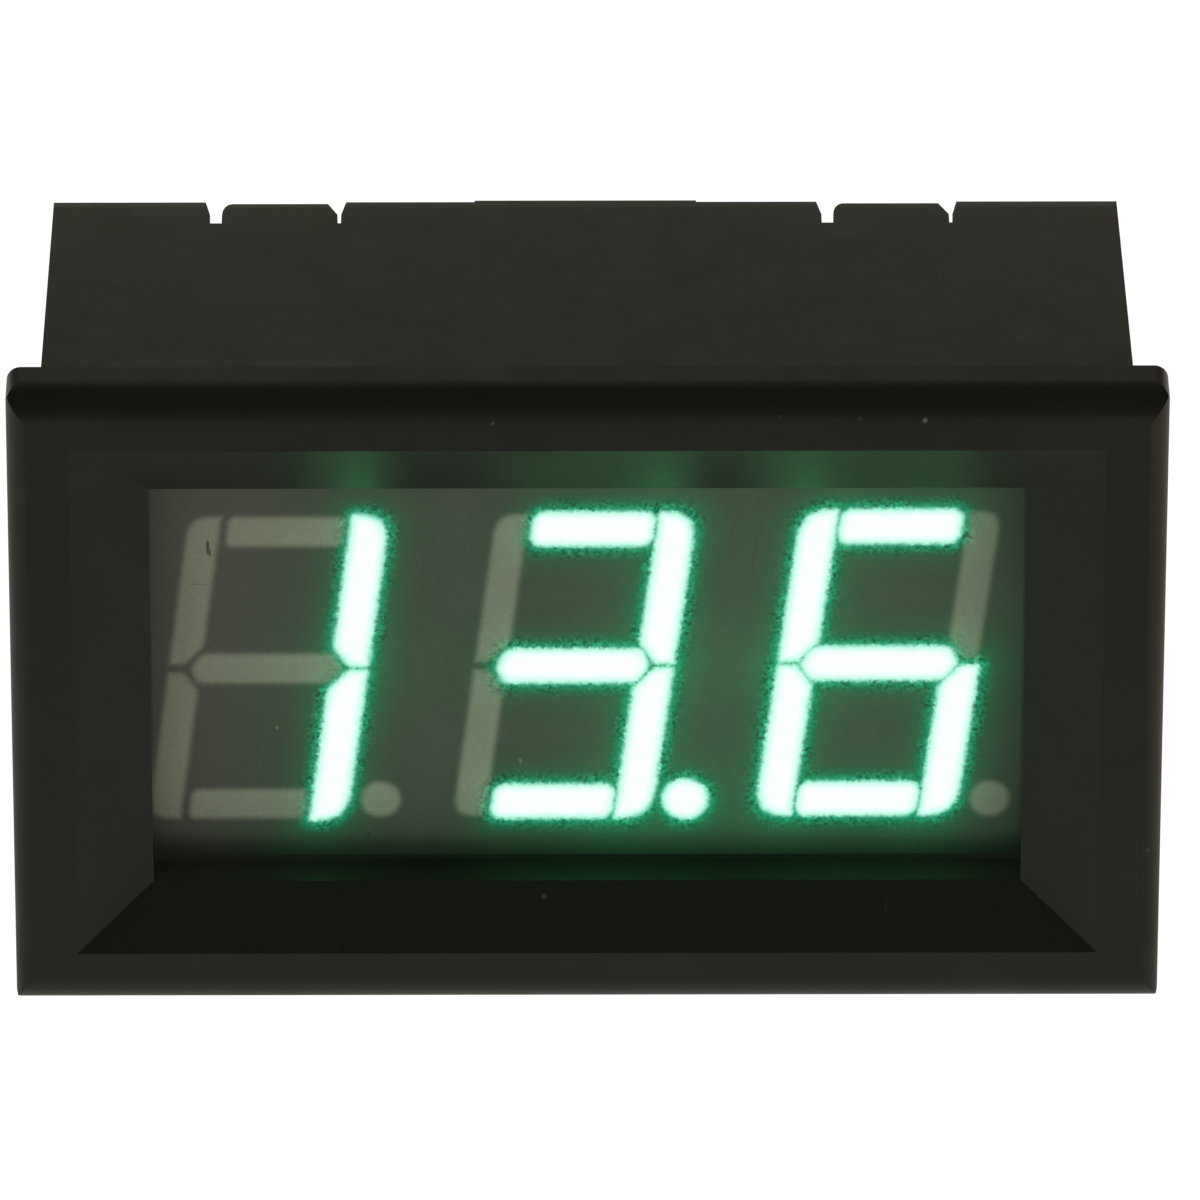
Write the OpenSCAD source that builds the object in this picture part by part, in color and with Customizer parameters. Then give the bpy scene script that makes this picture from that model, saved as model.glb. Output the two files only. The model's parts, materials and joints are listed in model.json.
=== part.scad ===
// Three-digit LED panel meter that snaps into a 46 x 27 mm cut-out, in millimetres.
// The origin is the centre of the sleeve where the bezel's back meets the panel.
// X points right and Z up as the reader sees the digits, and Y points into the panel.

/* [Sleeve and bezel] */
// Width of the sleeve where it meets the bezel
sleeve_w = 45.4; // [44:0.1:50]
// Height of the sleeve where it meets the bezel
sleeve_h = 26; // [25:0.1:30]
// Length of the sleeve behind the panel
sleeve_l = 18.5; // [17:0.1:24]
// Inward lean of each sleeve wall over its length, for release from the mould
sleeve_draft = 0.15; // [0.05:0.01:0.3]
// Bevel along the sleeve's four long edges
sleeve_edge = 0.3; // [0.1:0.05:0.6]
// Thickness of the sleeve's walls at the bezel
wall = 1.3; // [1:0.05:1.5]
// Overlap of the bezel on the panel, left and right
lap_w = 1.3; // [1.2:0.1:4]
// Overlap of the bezel on the panel, above and below
lap_h = 1.5; // [1.2:0.1:4]
// Thickness of the bezel
bezel_t = 2.6; // [2.2:0.1:3.5]
// Rounding of the bezel's front edge, above and below
bezel_edge = 1.4; // [0.6:0.1:1.6]
// Rounding of the bezel's front edge, left and right
bezel_side_edge = 0.8; // [0.4:0.1:1.4]
// Rounding of the bezel's corners seen from the front
bezel_corner = 0.6; // [0.4:0.1:2]

/* [Window] */
// Flat border between the bezel's outline and the bevel
border = 2.6; // [1.6:0.1:2.8]
// Depth of the bevel that leads in to the window
bevel_depth = 1.64; // [0.8:0.02:2]
// Depth of the display's face behind the bezel's front
face_depth = 3.88; // [3.2:0.02:5]
// Overlap of the window's edge on the display, left and right
lip_w = 0.7; // [0.2:0.02:1]
// Overlap of the window's edge on the display, above and below
lip_h = 0.2; // [0.1:0.02:0.4]
// Thickness of the collar round the display
collar_wall = 1; // [0.7:0.05:1.2]
// Length of the display that the collar holds
collar_grip = 3; // [1:0.1:5]

/* [Digits] */
// Distance from one digit to the next
digit_pitch = 12.8; // [12.2:0.1:13]
// Height of a digit
digit_h = 14.4; // [12:0.1:14.8]
// Width of a digit, measured along a level line
digit_w = 8.25; // [7:0.05:8.4]
// Lean of the digits
digit_lean = 7.4; // [0:0.2:8]
// Width of an upright segment, measured along a level line
upright = 1.31; // [0.9:0.01:1.6]
// Height of a level segment
level = 1.45; // [0.9:0.01:1.7]
// Gap between a level segment and the uprights beside it
end_gap = 0.28; // [0.2:0.01:0.5]
// Gap between an upper and a lower upright
middle_gap = 0.42; // [0.2:0.01:0.6]
// Length of the pointed ends of the middle segment
tip_l = 0.6; // [0.3:0.02:0.7]
// Height of the gap over and under the pointed ends
tip_gap = 0.38; // [0.3:0.01:0.6]
// Rounding of the four outer corners of a digit
digit_corner = 0.6; // [0.2:0.05:1]
// Rounding of every other corner of a segment
segment_corner = 0.12; // [0.04:0.02:0.2]
// Diameter of a decimal point
point_d = 1.64; // [1:0.02:1.8]
// Gap between a digit and its decimal point
point_gap = 0.58; // [0.3:0.02:0.6]
// Shift of the digits to the left, which makes room for the last point
digit_shift = 0.62; // [0:0.02:0.7]
// Drop of the digits below the middle of the window
digit_drop = 0.24; // [0:0.02:0.6]

/* [Display module] */
// Distance from an outer digit's middle to the module's side
display_side = 6.1; // [5.8:0.1:6.3]
// Height of the display module
display_h = 19; // [18.8:0.1:20]
// Depth of the display module
display_d = 8; // [7:0.1:9]
// Wall of the display's shell round its back
shell_wall = 0.8; // [0.5:0.05:1]
// Depth of the light wells
well_l = 5.4; // [4:0.1:6]
// Thickness of the board that carries the light-emitting dice
led_board_t = 1; // [0.6:0.1:1.4]
// Width of a light-emitting die
die_w = 0.3; // [0.2:0.02:0.5]
// Number of pins in each of the two rows
row_pins = 6; // [2:1:8]
// Distance from one pin to the next
pin_pitch = 2.54; // [2:0.01:3]
// Distance between the two rows of pins
row_gap = 15.24; // [12:0.01:16]
// Diameter of a pin
pin_d = 0.5; // [0.4:0.02:0.7]

/* [Circuit board] */
// Thickness of the circuit board
board_t = 1.6; // [0.8:0.1:2]
// Depth of the board's back inside the sleeve's rear edge
board_recess = 1.6; // [1.6:0.1:2.2]
// Width of the plated hole for a pin
pin_hole_d = 0.9; // [0.8:0.02:1.1]
// Width of the solder at a pin
solder_d = 1.7; // [1.2:0.1:2.2]
// Height of the solder at a pin
solder_h = 0.6; // [0.3:0.05:0.8]
// Width of the hole that takes a wire
wire_hole_d = 1.1; // [0.7:0.05:1.5]
// Width of the pad round a wire's hole
wire_pad_d = 2.2; // [1.9:0.1:2.6]
// Distance of the wires' holes from the board's lower edge
wire_edge = 3.2; // [2.4:0.1:3.6]
// Distance of the middle wire's hole from the board's right edge
wire_side = 6.8; // [6.4:0.1:7.4]
// Distance from one wire's hole to the next
wire_pitch = 3; // [2.7:0.1:3.4]
// Number of wire holes
wires = 3; // [2:1:3]
// Thickness of the tinned pads round a wire's hole
plating = 0.1; // [0.04:0.02:0.16]

/* [Snap fits] */
// Width of the side latches
latch_w = 6; // [4:0.1:8]
// Length of the side latches
latch_l = 11; // [9:0.1:13]
// Reach of a latch's first tooth past the sleeve
latch_h = 1.15; // [0.6:0.05:1.2]
// Number of teeth on a latch
latch_teeth = 3; // [1:1:4]
// Height of each tooth's step
latch_step = 0.35; // [0.2:0.05:0.5]
// Distance between the bezel and a latch's free end
latch_y = 2.1; // [1.2:0.1:2.5]
// Width of the slot round a latch
latch_slot = 0.6; // [0.4:0.05:1]
// Distance from the middle to the middle of a rear tongue
tongue_x = 12.95; // [11:0.05:14]
// Width of a rear tongue
tongue_w = 4.9; // [4:0.1:6]
// Length of a rear tongue
tongue_l = 2; // [1.8:0.1:2.6]
// Width of the wide slot at a tongue's left
wide_slot = 0.5; // [0.4:0.05:1]
// Width of the narrow slot at a tongue's right
narrow_slot = 0.15; // [0.1:0.05:0.4]
// Width of the eased corners at a tongue's tip
tongue_corner_w = 0.42; // [0.2:0.02:0.6]
// Length of the eased corners at a tongue's tip
tongue_corner_l = 1.2; // [0.5:0.05:1.4]
// Width of the eased corners of the sleeve beside a tongue
slot_mouth = 0.2; // [0.1:0.02:0.3]
// Reach of a tongue's hook over the circuit board
hook_h = 0.7; // [0.4:0.05:1]
// Depth of the relief outside a tongue's tip
tongue_relief = 0.08; // [0.02:0.02:0.2]
// Width of the land between the tongues that stands proud of the rear edge
land_w = 9.4; // [6:0.1:12]
// Height of that land
land_h = 0.14; // [0.05:0.01:0.3]

/* [Ribs] */
// Thickness of the ribs that carry the circuit board
rib_w = 1.2; // [0.8:0.1:1.6]
// Reach of the ribs on the side walls
side_rib_h = 1.4; // [0.8:0.1:1.5]
// Distance from the middle to a rib on a side wall
side_rib_z = 8; // [6:0.1:10]
// Distance from a side wall to a rib on the top or bottom wall
top_rib_side = 1.9; // [1.6:0.1:2]

/* [Controller chip] */
// Length of the controller's body
chip_l = 9.9; // [8:0.1:10]
// Width of the controller's body
chip_w = 3.9; // [3.2:0.1:4.4]
// Height of the controller's body
chip_h = 1.35; // [0.9:0.05:1.4]
// Number of leads along each side
side_leads = 8; // [4:1:8]
// Distance from one lead to the next
lead_pitch = 1.27; // [1:0.01:1.27]
// Width of a lead
lead_w = 0.42; // [0.3:0.02:0.5]
// Thickness of a lead
lead_t = 0.2; // [0.12:0.02:0.25]
// Reach of a lead past the body
lead_l = 1.05; // [0.9:0.05:1.2]

/* [Regulator and diode] */
// Width of the regulator's body
regulator_w = 4.5; // [4:0.1:4.8]
// Height of the regulator's body
regulator_h = 2.5; // [2.2:0.1:2.8]
// Thickness of the regulator's body
regulator_t = 1.45; // [1.2:0.05:1.5]
// Length of the regulator's leads and cooling tab
regulator_lead_l = 0.8; // [0.5:0.05:1]
// Width of the regulator's leads
regulator_lead_w = 0.45; // [0.35:0.05:0.55]
// Distance from one regulator lead to the next
regulator_pitch = 1.5; // [1.3:0.1:1.6]
// Width of the regulator's cooling tab
regulator_tab_w = 1.8; // [1.4:0.1:2.4]
// Thickness of the regulator's leads
regulator_lead_t = 0.4; // [0.3:0.05:0.5]
// Length of the diode's body
diode_l = 2.7; // [2.3:0.1:2.8]
// Width of the diode's body
diode_w = 1.6; // [1.3:0.1:1.8]
// Thickness of the diode's body
diode_t = 1.1; // [0.8:0.05:1.3]
// Length of the diode's leads
diode_lead_l = 0.5; // [0.3:0.05:0.5]
// Width of the diode's leads
diode_lead_w = 0.6; // [0.4:0.05:0.8]
// Thickness of the diode's leads
diode_lead_t = 0.15; // [0.1:0.05:0.25]

/* [Chip resistors and capacitors] */
// Length of a chip resistor
resistor_l = 1.6; // [1:0.1:1.8]
// Width of a chip resistor
resistor_w = 0.8; // [0.5:0.1:1]
// Thickness of a chip resistor
resistor_t = 0.45; // [0.35:0.05:0.55]
// Length of a chip resistor's metal ends
resistor_end = 0.3; // [0.2:0.05:0.4]
// Distance from one chip resistor to the next
resistor_pitch = 2.6; // [2.2:0.1:2.6]
// Length of a chip capacitor
capacitor_l = 2; // [1.6:0.1:2.2]
// Width of a chip capacitor
capacitor_w = 1.25; // [0.8:0.05:1.4]
// Thickness of a chip capacitor
capacitor_t = 0.8; // [0.6:0.05:1]
// Length of a chip capacitor's metal ends
capacitor_end = 0.4; // [0.3:0.05:0.5]
// Distance from one chip capacitor to the next
capacitor_pitch = 3.4; // [2.6:0.1:4]

/* [Trimmer] */
// Width of the trimmer's body
trimmer_w = 3.3; // [3.2:0.1:4]
// Length of the trimmer's body
trimmer_l = 3.7; // [3.5:0.1:4.2]
// Thickness of the trimmer's body
trimmer_t = 0.95; // [0.9:0.01:1]
// Diameter of the trimmer's rotor
rotor_d = 2.4; // [2:0.05:2.5]
// Thickness of the trimmer's rotor
rotor_t = 0.36; // [0.3:0.02:0.45]
// Diameter of the rotor's hub
hub_d = 1.1; // [0.8:0.05:1.3]
// Width of the rivet head that keeps the rotor in its body
rivet_d = 1.7; // [1.5:0.05:2]
// Gap all round the hub and the rotor
rotor_gap = 0.05; // [0.03:0.01:0.08]
// Width of the rotor's screwdriver slots
slot_w = 0.45; // [0.3:0.05:0.6]
// Width of the trimmer's terminal strips
strip_w = 0.7; // [0.5:0.05:0.9]
// Reach of a terminal strip past the body
strip_l = 0.5; // [0.3:0.05:0.6]
// Height of a terminal strip on the body's end
strip_h = 0.7; // [0.4:0.05:0.8]
// Thickness of a terminal strip
strip_t = 0.15; // [0.1:0.05:0.25]
// Distance from the middle to a lower terminal strip
strip_x = 1; // [0.8:0.05:1.2]
// Turn of the rotor each way before it meets its stop
rotor_turn = 130; // [90:5:140]

/* [Hidden] */
$fn = 48;
digit_names = ["left", "middle", "right"];
segment_names = ["segment_a", "segment_b", "segment_c", "segment_d",
                 "segment_e", "segment_f", "segment_g", "point"];
function fill_name(digit, segment) = str(digit_names[digit], "_", segment_names[segment]);

// Overshoot of a cutting shape past the face that it cuts
past = 1;
// Clearance round a piece that drops in to the housing
drop_gap = 0.1;
// Clearance between the hooks and the circuit board
hook_gap = 0.05;
// Laminate left over a pin's front end, and a pin's tip past its solder
pin_cover = 0.3;
pin_tip = 0.2;

// Bezel and window
bezel_w = sleeve_w + 2 * lap_w;
bezel_h = sleeve_h + 2 * lap_h;
face_y = face_depth - bezel_t;
display_w = 2 * digit_pitch + 2 * display_side;
window_w = display_w - 2 * lip_w;
window_h = display_h - 2 * lip_h;
collar_w = display_w + 2 * drop_gap + 2 * collar_wall;
collar_h = display_h + 2 * drop_gap + 2 * collar_wall;
collar_y = face_y + collar_grip;

// Sleeve and circuit board
cavity_w = sleeve_w - 2 * wall;
cavity_h = sleeve_h - 2 * wall;
board_w = cavity_w - 2 * drop_gap;
board_h = cavity_h - 2 * drop_gap;
rear_y = sleeve_l - land_h;
board_back = sleeve_l - board_recess;
board_y = board_back - board_t;
display_back = face_y + display_d;
led_y = face_y + well_l;
pin_start = led_y + pin_cover;
pin_end = board_back + solder_h + pin_tip;

// Places of the parts on the back of the circuit board, from its middle or its sides
chip_x = -2;
regulator_x = 7.6;
diode_side = 7.7;
diode_x = board_w / 2 - diode_side;
diode_z = -2.6;
trimmer_side = 6.9;
trimmer_x = board_w / 2 - trimmer_side;
trimmer_z = 3.6;
wire_x = board_w / 2 - wire_side;
wire_z = wire_edge - board_h / 2;
capacitor_side = 3.5;
capacitor_x = capacitor_side - board_w / 2;
bank_gap = 5.1;
bank_x = capacitor_x + bank_gap;
pair_z = -4.4;
resistor_places = concat(
    [for (i = [0, 1], j = [0:3]) [bank_x + (i - 1 / 2) * resistor_pitch,
                                  (j - 3 / 2) * resistor_pitch]],
    [for (side = [-1, 1]) [regulator_x + side * resistor_pitch / 2, pair_z]]);
capacitor_places = concat(
    [for (i = [-1:1]) [capacitor_x, i * capacitor_pitch]],
    [[regulator_x, capacitor_pitch]]);

// Height of the controller's body over the board, and the dimple in its corner
chip_lift = 0.1;
dimple_d = 0.8;
dimple_edge = 1;
dimple_depth = 0.1;

// Width of the solder's narrow end round a pin
solder_rim = 0.15;

// Thickness of the rivet head under the trimmer's rotor
rivet_t = 0.3;

// ---- shared outlines and blocks ----

// A block that spans y0 to y1, centred on x = 0 and z = 0
module block(w, y0, y1, h) {
    translate([-w / 2, y0, -h / 2]) cube([w, y1 - y0, h]);
}

// An outline drawn in X and Z, extruded from y0 to y1
module along_y(y0, y1) {
    translate([0, y1, 0]) rotate([90, 0, 0]) linear_extrude(y1 - y0) children();
}

// An outline drawn in Y and Z, extruded along X over a width w, centred on x = 0
module along_x(w) {
    translate([-w / 2, 0, 0]) rotate([90, 0, 90]) linear_extrude(w) children();
}

// A round bar along Y from y0 to y1
module bar(d, y0, y1) {
    translate([0, y1, 0]) rotate([90, 0, 0]) cylinder(d = d, h = y1 - y0);
}

// A closed outline, symmetric about the Y axis, through [y, half width] stations
function both_sides(stations) = concat(
    [for (s = stations) [s[1], s[0]]],
    [for (i = [len(stations) - 1:-1:0]) [-stations[i][1], stations[i][0]]]);

// A prism along Z with the outline of the stations
module lengthwise(stations, h) {
    translate([0, 0, -h / 2]) linear_extrude(h) polygon(both_sides(stations));
}

// A solid with flat sides through [y, half width, half height] stations
module tapered(stations) {
    w = 2 * max([for (s = stations) s[1]]) + past;
    h = 2 * max([for (s = stations) s[2]]) + past;
    intersection() {
        lengthwise([for (s = stations) [s[0], s[1]]], h);
        rotate([0, 90, 0]) lengthwise([for (s = stations) [s[0], s[2]]], w);
    }
}

// A rectangle with rounded corners, centred
module rounded_rectangle(w, h, r) {
    square([w, h - 2 * r], center = true);
    square([w - 2 * r, h], center = true);
    for (x = [-1, 1], y = [-1, 1]) translate([x * (w / 2 - r), y * (h / 2 - r)]) circle(r);
}

// Copies its children to the left and the right
module left_and_right() {
    children();
    mirror([1, 0, 0]) children();
}

// Copies its children to the top and the bottom
module top_and_bottom() {
    children();
    mirror([0, 0, 1]) children();
}

// ---- housing ----

// Section of the bezel from its rounded front edges to the panel, in X and Y
module bezel_section(w, r) {
    translate([-w / 2, r - bezel_t]) square([w, bezel_t - r]);
    translate([r - w / 2, -bezel_t]) square([w - 2 * r, bezel_t]);
    for (x = [-1, 1]) translate([x * (w / 2 - r), r - bezel_t]) circle(r);
}

module bezel() {
    intersection() {
        along_y(-bezel_t, 0) rounded_rectangle(bezel_w, bezel_h, bezel_corner);
        translate([0, 0, -bezel_h / 2]) linear_extrude(bezel_h)
            bezel_section(bezel_w, bezel_side_edge);
        rotate([0, 90, 0]) translate([0, 0, -bezel_w / 2]) linear_extrude(bezel_w)
            bezel_section(bezel_h, bezel_edge);
    }
}

module sleeve_outside() {
    front = -bezel_t / 2;
    corner = sleeve_w / 2 + sleeve_h / 2 - sleeve_edge;
    size = sleeve_w + sleeve_h;
    intersection() {
        tapered([[front, sleeve_w / 2, sleeve_h / 2],
                 [0, sleeve_w / 2, sleeve_h / 2],
                 [sleeve_l, sleeve_w / 2 - sleeve_draft, sleeve_h / 2 - sleeve_draft]]);
        for (turn = [-45, 45]) rotate([0, turn, 0]) lengthwise(
            [[front, corner * sin(45)],
             [0, corner * sin(45)],
             [sleeve_l, (corner - 2 * sleeve_draft) * sin(45)]], size);
    }
}

module ribs() {
    left_and_right() for (z = [-side_rib_z, side_rib_z]) {
        translate([cavity_w / 2 - side_rib_h / 2 + past / 4, 0, z])
            block(side_rib_h + past / 2, -past / 2, board_y, rib_w);
    }
    top_rib_h = (cavity_h - collar_h) / 2;
    top_and_bottom() left_and_right() {
        translate([cavity_w / 2 - top_rib_side, 0, cavity_h / 2 - top_rib_h / 2])
            block(rib_w, -past / 2, board_y, top_rib_h + past);
    }
}

module window_opening() {
    front_w = bezel_w - 2 * border;
    front_h = bezel_h - 2 * border;
    tapered([[-bezel_t - past, front_w / 2, front_h / 2],
             [-bezel_t, front_w / 2, front_h / 2],
             [bevel_depth - bezel_t, window_w / 2, window_h / 2],
             [face_y + past, window_w / 2, window_h / 2]]);
    block(display_w + 2 * drop_gap, face_y, collar_y + past, display_h + 2 * drop_gap);
}

// The U-shaped slot that frees a latch, on the right wall
module latch_slots() {
    w = latch_w + 2 * latch_slot;
    depth = wall + past;
    translate([sleeve_w / 2 - wall / 2, 0, 0]) difference() {
        block(depth, latch_y - latch_slot, latch_y + latch_l, w);
        block(depth + past, latch_y, latch_y + latch_l + past, latch_w);
    }
}

// Height of the latch's ramp over the wall at a distance y from the bezel
function ramp(y) = latch_h * (latch_y + latch_l - y) / latch_l;

// The row of teeth on the right latch, each with its step towards the bezel
module latch_ramp() {
    foot = sleeve_w / 2 - wall / 2;
    face = sleeve_w / 2 - sleeve_draft;
    tooth_l = latch_l / 2 / latch_teeth;
    tooth_y = [for (i = [0:latch_teeth - 1]) latch_y + i * tooth_l];
    outline = concat(
        [[foot, latch_y], [face + ramp(latch_y), latch_y]],
        [for (i = [1:1:latch_teeth - 1]) each [
            [face + ramp(tooth_y[i]) - latch_step, tooth_y[i]],
            [face + ramp(tooth_y[i]), tooth_y[i]]]],
        [[face, latch_y + latch_l], [foot, latch_y + latch_l]]);
    translate([0, 0, -latch_w / 2]) linear_extrude(latch_w) polygon(outline);
}

// Slots and eased corners of the tongue at a distance x from the middle, in X and Y
module tongue_gaps(x) {
    left = x - tongue_w / 2;
    right = x + tongue_w / 2;
    root = rear_y - tongue_l;
    rear = sleeve_l + past;
    translate([left - wide_slot, root]) square([wide_slot, rear - root]);
    translate([right, root]) square([narrow_slot, rear - root]);
    for (edge = [[left - wide_slot, -1], [right + narrow_slot, 1]]) polygon([
        [edge[0], rear_y - tongue_corner_l],
        [edge[0] + edge[1] * slot_mouth, rear_y],
        [edge[0] + edge[1] * slot_mouth, rear],
        [edge[0] - edge[1] * narrow_slot / 2, rear],
        [edge[0] - edge[1] * narrow_slot / 2, rear_y - tongue_corner_l]]);
    polygon([[right + narrow_slot / 2, rear_y - tongue_corner_l],
             [right, rear_y - tongue_corner_l],
             [right - tongue_corner_w, rear_y],
             [right - tongue_corner_w, rear],
             [right + narrow_slot / 2, rear]]);
    polygon(concat([[left - wide_slot / 2, rear_y - tongue_corner_l]],
        [for (a = [0:22.5:90]) [
            left + tongue_corner_w * (1 - cos(a)),
            rear_y - tongue_corner_l * (1 - sin(a))]],
        [[left + tongue_corner_w, rear], [left - wide_slot / 2, rear]]));
}

// Height of the sleeve's top at a distance y from the bezel
function sleeve_top(y) = sleeve_h / 2 - sleeve_draft * y / sleeve_l;

// The shallow relief on the outside of a tongue's tip
module tongue_relief(x) {
    y = rear_y - tongue_corner_l;
    translate([x, 0, 0]) along_x(tongue_w)
        polygon([[y, sleeve_top(y)],
                 [rear_y, sleeve_top(rear_y) - tongue_relief],
                 [sleeve_l + past, sleeve_top(rear_y) - tongue_relief],
                 [sleeve_l + past, sleeve_h / 2 + past],
                 [y, sleeve_h / 2 + past]]);
}

// The hook under a tongue, which holds the back of the circuit board
module tongue_hook(x) {
    y = board_back + hook_gap;
    top = cavity_h / 2;
    translate([x, 0, 0]) along_x(tongue_w - 2 * tongue_corner_w)
        polygon([[y, top + wall / 2],
                 [y, top - hook_h],
                 [y + hook_h / 3, top - hook_h],
                 [rear_y, top],
                 [rear_y, top + wall / 2]]);
}

module housing() {
    front = -bezel_t / 2;
    color("#24251f") union() {
        difference() {
            union() {
                bezel();
                difference() {
                    sleeve_outside();
                    block(cavity_w, 0, sleeve_l + past, cavity_h);
                }
                block(collar_w, front, collar_y, collar_h);
                ribs();
            }
            window_opening();
            left_and_right() latch_slots();
            // The rear edge, apart from the land in the middle
            left_and_right() translate([land_w / 2, rear_y, -sleeve_h / 2 - past])
                cube([sleeve_w, land_h + past, sleeve_h + 2 * past]);
            for (x = [-tongue_x, tongue_x]) top_and_bottom() {
                translate([0, 0, cavity_h / 2 - past]) linear_extrude(wall + 2 * past)
                    tongue_gaps(x);
                tongue_relief(x);
            }
        }
        left_and_right() latch_ramp();
        for (x = [-tongue_x, tongue_x]) top_and_bottom() tongue_hook(x);
    }
}

// ---- display ----

// A point of a digit, leaned over, from its place in the upright digit
function lean(p) = [p[0] + p[1] * tan(digit_lean), p[1]];

// Points of the arc that rounds the corner at b, between a and c
function rounded(a, b, c, r, steps) =
    let (in = (a - b) / norm(a - b),
         out = (c - b) / norm(c - b),
         half = acos(in * out) / 2,
         middle = b + (in + out) / norm(in + out) * r / sin(half),
         from = b + in * r / tan(half) - middle,
         to = b + out * r / tan(half) - middle,
         turn = 180 - 2 * half,
         side = cross(from, to) > 0 ? 1 : -1)
    [for (i = [0:steps]) let (a = side * turn * i / steps)
        middle + [from[0] * cos(a) - from[1] * sin(a), from[0] * sin(a) + from[1] * cos(a)]];

// A leaned outline with every corner rounded, from [x, z, radius] corners
function leaned_outline(corners) =
    let (n = len(corners), p = [for (c = corners) lean([c[0], c[1]])])
    [for (i = [0:n - 1]) each rounded(p[(i + n - 1) % n], p[i], p[(i + 1) % n],
        corners[i][2], corners[i][2] > segment_corner ? 5 : 2)];

// Corners of the segments of an upright digit about its middle
bar_w = digit_w / 2 - upright - end_gap;
inner_w = digit_w / 2 - upright;
tip_slope = tip_l / (level / 2);
shoulder = level / 2 + tip_gap;
foot_w = inner_w + (shoulder - middle_gap / 2) * tip_slope;
top_bar = [for (p = [[-bar_w, -level], [-bar_w, 0], [bar_w, 0], [bar_w, -level]])
    [p[0], p[1] + digit_h / 2, segment_corner]];
middle_bar = [for (p = [[-inner_w - tip_l, 0], [-inner_w, level / 2], [inner_w, level / 2],
                        [inner_w + tip_l, 0], [inner_w, -level / 2], [-inner_w, -level / 2]])
    [p[0], p[1], segment_corner]];
upper_right = [
    [digit_w / 2, middle_gap / 2, segment_corner],
    [foot_w, middle_gap / 2, segment_corner],
    [inner_w, shoulder, segment_corner],
    [inner_w, digit_h / 2, segment_corner],
    [digit_w / 2, digit_h / 2, digit_corner]];
function flipped(corners, x, z) = [for (c = corners) [c[0] * x, c[1] * z, c[2]]];

// The corners of the seven segments, a to g
segment_corners = [
    top_bar,
    upper_right,
    flipped(upper_right, 1, -1),
    flipped(top_bar, 1, -1),
    flipped(upper_right, -1, -1),
    flipped(upper_right, -1, 1),
    middle_bar];

// Middles of the seven segments and the point, where their dice lie
point_z = point_d / 2 - digit_h / 2;
segment_middles = [
    lean([0, digit_h / 2 - level / 2]),
    lean([digit_w / 2 - upright / 2, digit_h / 4]),
    lean([digit_w / 2 - upright / 2, -digit_h / 4]),
    lean([0, level / 2 - digit_h / 2]),
    lean([upright / 2 - digit_w / 2, -digit_h / 4]),
    lean([upright / 2 - digit_w / 2, digit_h / 4]),
    [0, 0],
    lean([digit_w / 2, point_z]) + [point_gap + point_d / 2, 0]];

// Moves its children to the middle of a digit
module at_digit(digit) {
    translate([(digit - 1) * digit_pitch - digit_shift, 0, -digit_drop]) children();
}

// The light well of a segment in its digit, from y0 to y1
module well(digit, segment, y0, y1) {
    at_digit(digit) along_y(y0, y1) {
        if (segment < 7) polygon(leaned_outline(segment_corners[segment]));
        else translate(segment_middles[segment]) circle(d = point_d);
    }
}

// The die at the bottom of a light well
module die(digit, segment) {
    spot = segment_middles[segment];
    at_digit(digit) translate([spot[0], 0, spot[1]])
        block(die_w, led_y - die_w * 2 / 3, led_y, die_w);
}

// Moves its children to each pin of the display
module at_pins() {
    for (i = [0:row_pins - 1], side = [-1, 1]) {
        translate([(i - (row_pins - 1) / 2) * pin_pitch, 0, side * row_gap / 2]) children();
    }
}

module display_shell() {
    color("#3e443c") difference() {
        block(display_w, face_y, display_back, display_h);
        block(display_w - 2 * shell_wall, led_y, display_back + past,
            display_h - 2 * shell_wall);
        for (digit = [0:2], segment = [0:7]) well(digit, segment, face_y - past, led_y + past);
    }
}

module segment_fill(digit, segment) {
    color("#8b9384") difference() {
        well(digit, segment, face_y, led_y);
        die(digit, segment);
    }
}

module led_dice() {
    color("#c8c46a") for (digit = [0:2], segment = [0:7]) die(digit, segment);
}

module display_board() {
    color("#d9d5bd") difference() {
        block(display_w - 2 * shell_wall - 2 * drop_gap, led_y, led_y + led_board_t,
            display_h - 2 * shell_wall - 2 * drop_gap);
        at_pins() bar(pin_d, pin_start, led_y + led_board_t + past);
    }
}

module display_potting() {
    color("#c9c8b2") difference() {
        block(display_w - 2 * shell_wall, led_y + led_board_t, display_back,
            display_h - 2 * shell_wall);
        at_pins() bar(pin_d, led_y, display_back + past);
    }
}

module display_pins() {
    color("#c4c5c6") at_pins() bar(pin_d, pin_start, pin_end);
}

// ---- circuit board ----

// Moves its children to each wire hole
module at_wires() {
    for (i = [0:wires - 1]) {
        translate([wire_x + (i - (wires - 1) / 2) * wire_pitch, 0, wire_z]) children();
    }
}

module circuit_board() {
    color("#1f5a37") difference() {
        block(board_w, board_y, board_back, board_h);
        at_pins() bar(pin_hole_d, board_y - past, board_back + past);
        at_wires() bar(wire_hole_d, board_y - past, board_back + past);
    }
}

module pin_solder() {
    color("#b9bbbd") at_pins() difference() {
        union() {
            bar(pin_hole_d, board_y, board_back);
            translate([0, board_back + solder_h, 0]) rotate([90, 0, 0])
                cylinder(d1 = pin_d + solder_rim, d2 = solder_d, h = solder_h);
        }
        bar(pin_d, board_y - past, pin_end + past);
    }
}

// A tinned pad on each side of the board round each wire's hole
module wire_pads() {
    color("#c9cacb") at_wires() for (y = [board_y - plating, board_back]) difference() {
        bar(wire_pad_d, y, y + plating);
        bar(wire_hole_d, y - past, y + plating + past);
    }
}

// ---- parts on the circuit board ----

// Moves its children to a place on the back of the board
module on_board(x, z) {
    translate([x, board_back, z]) children();
}

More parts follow.
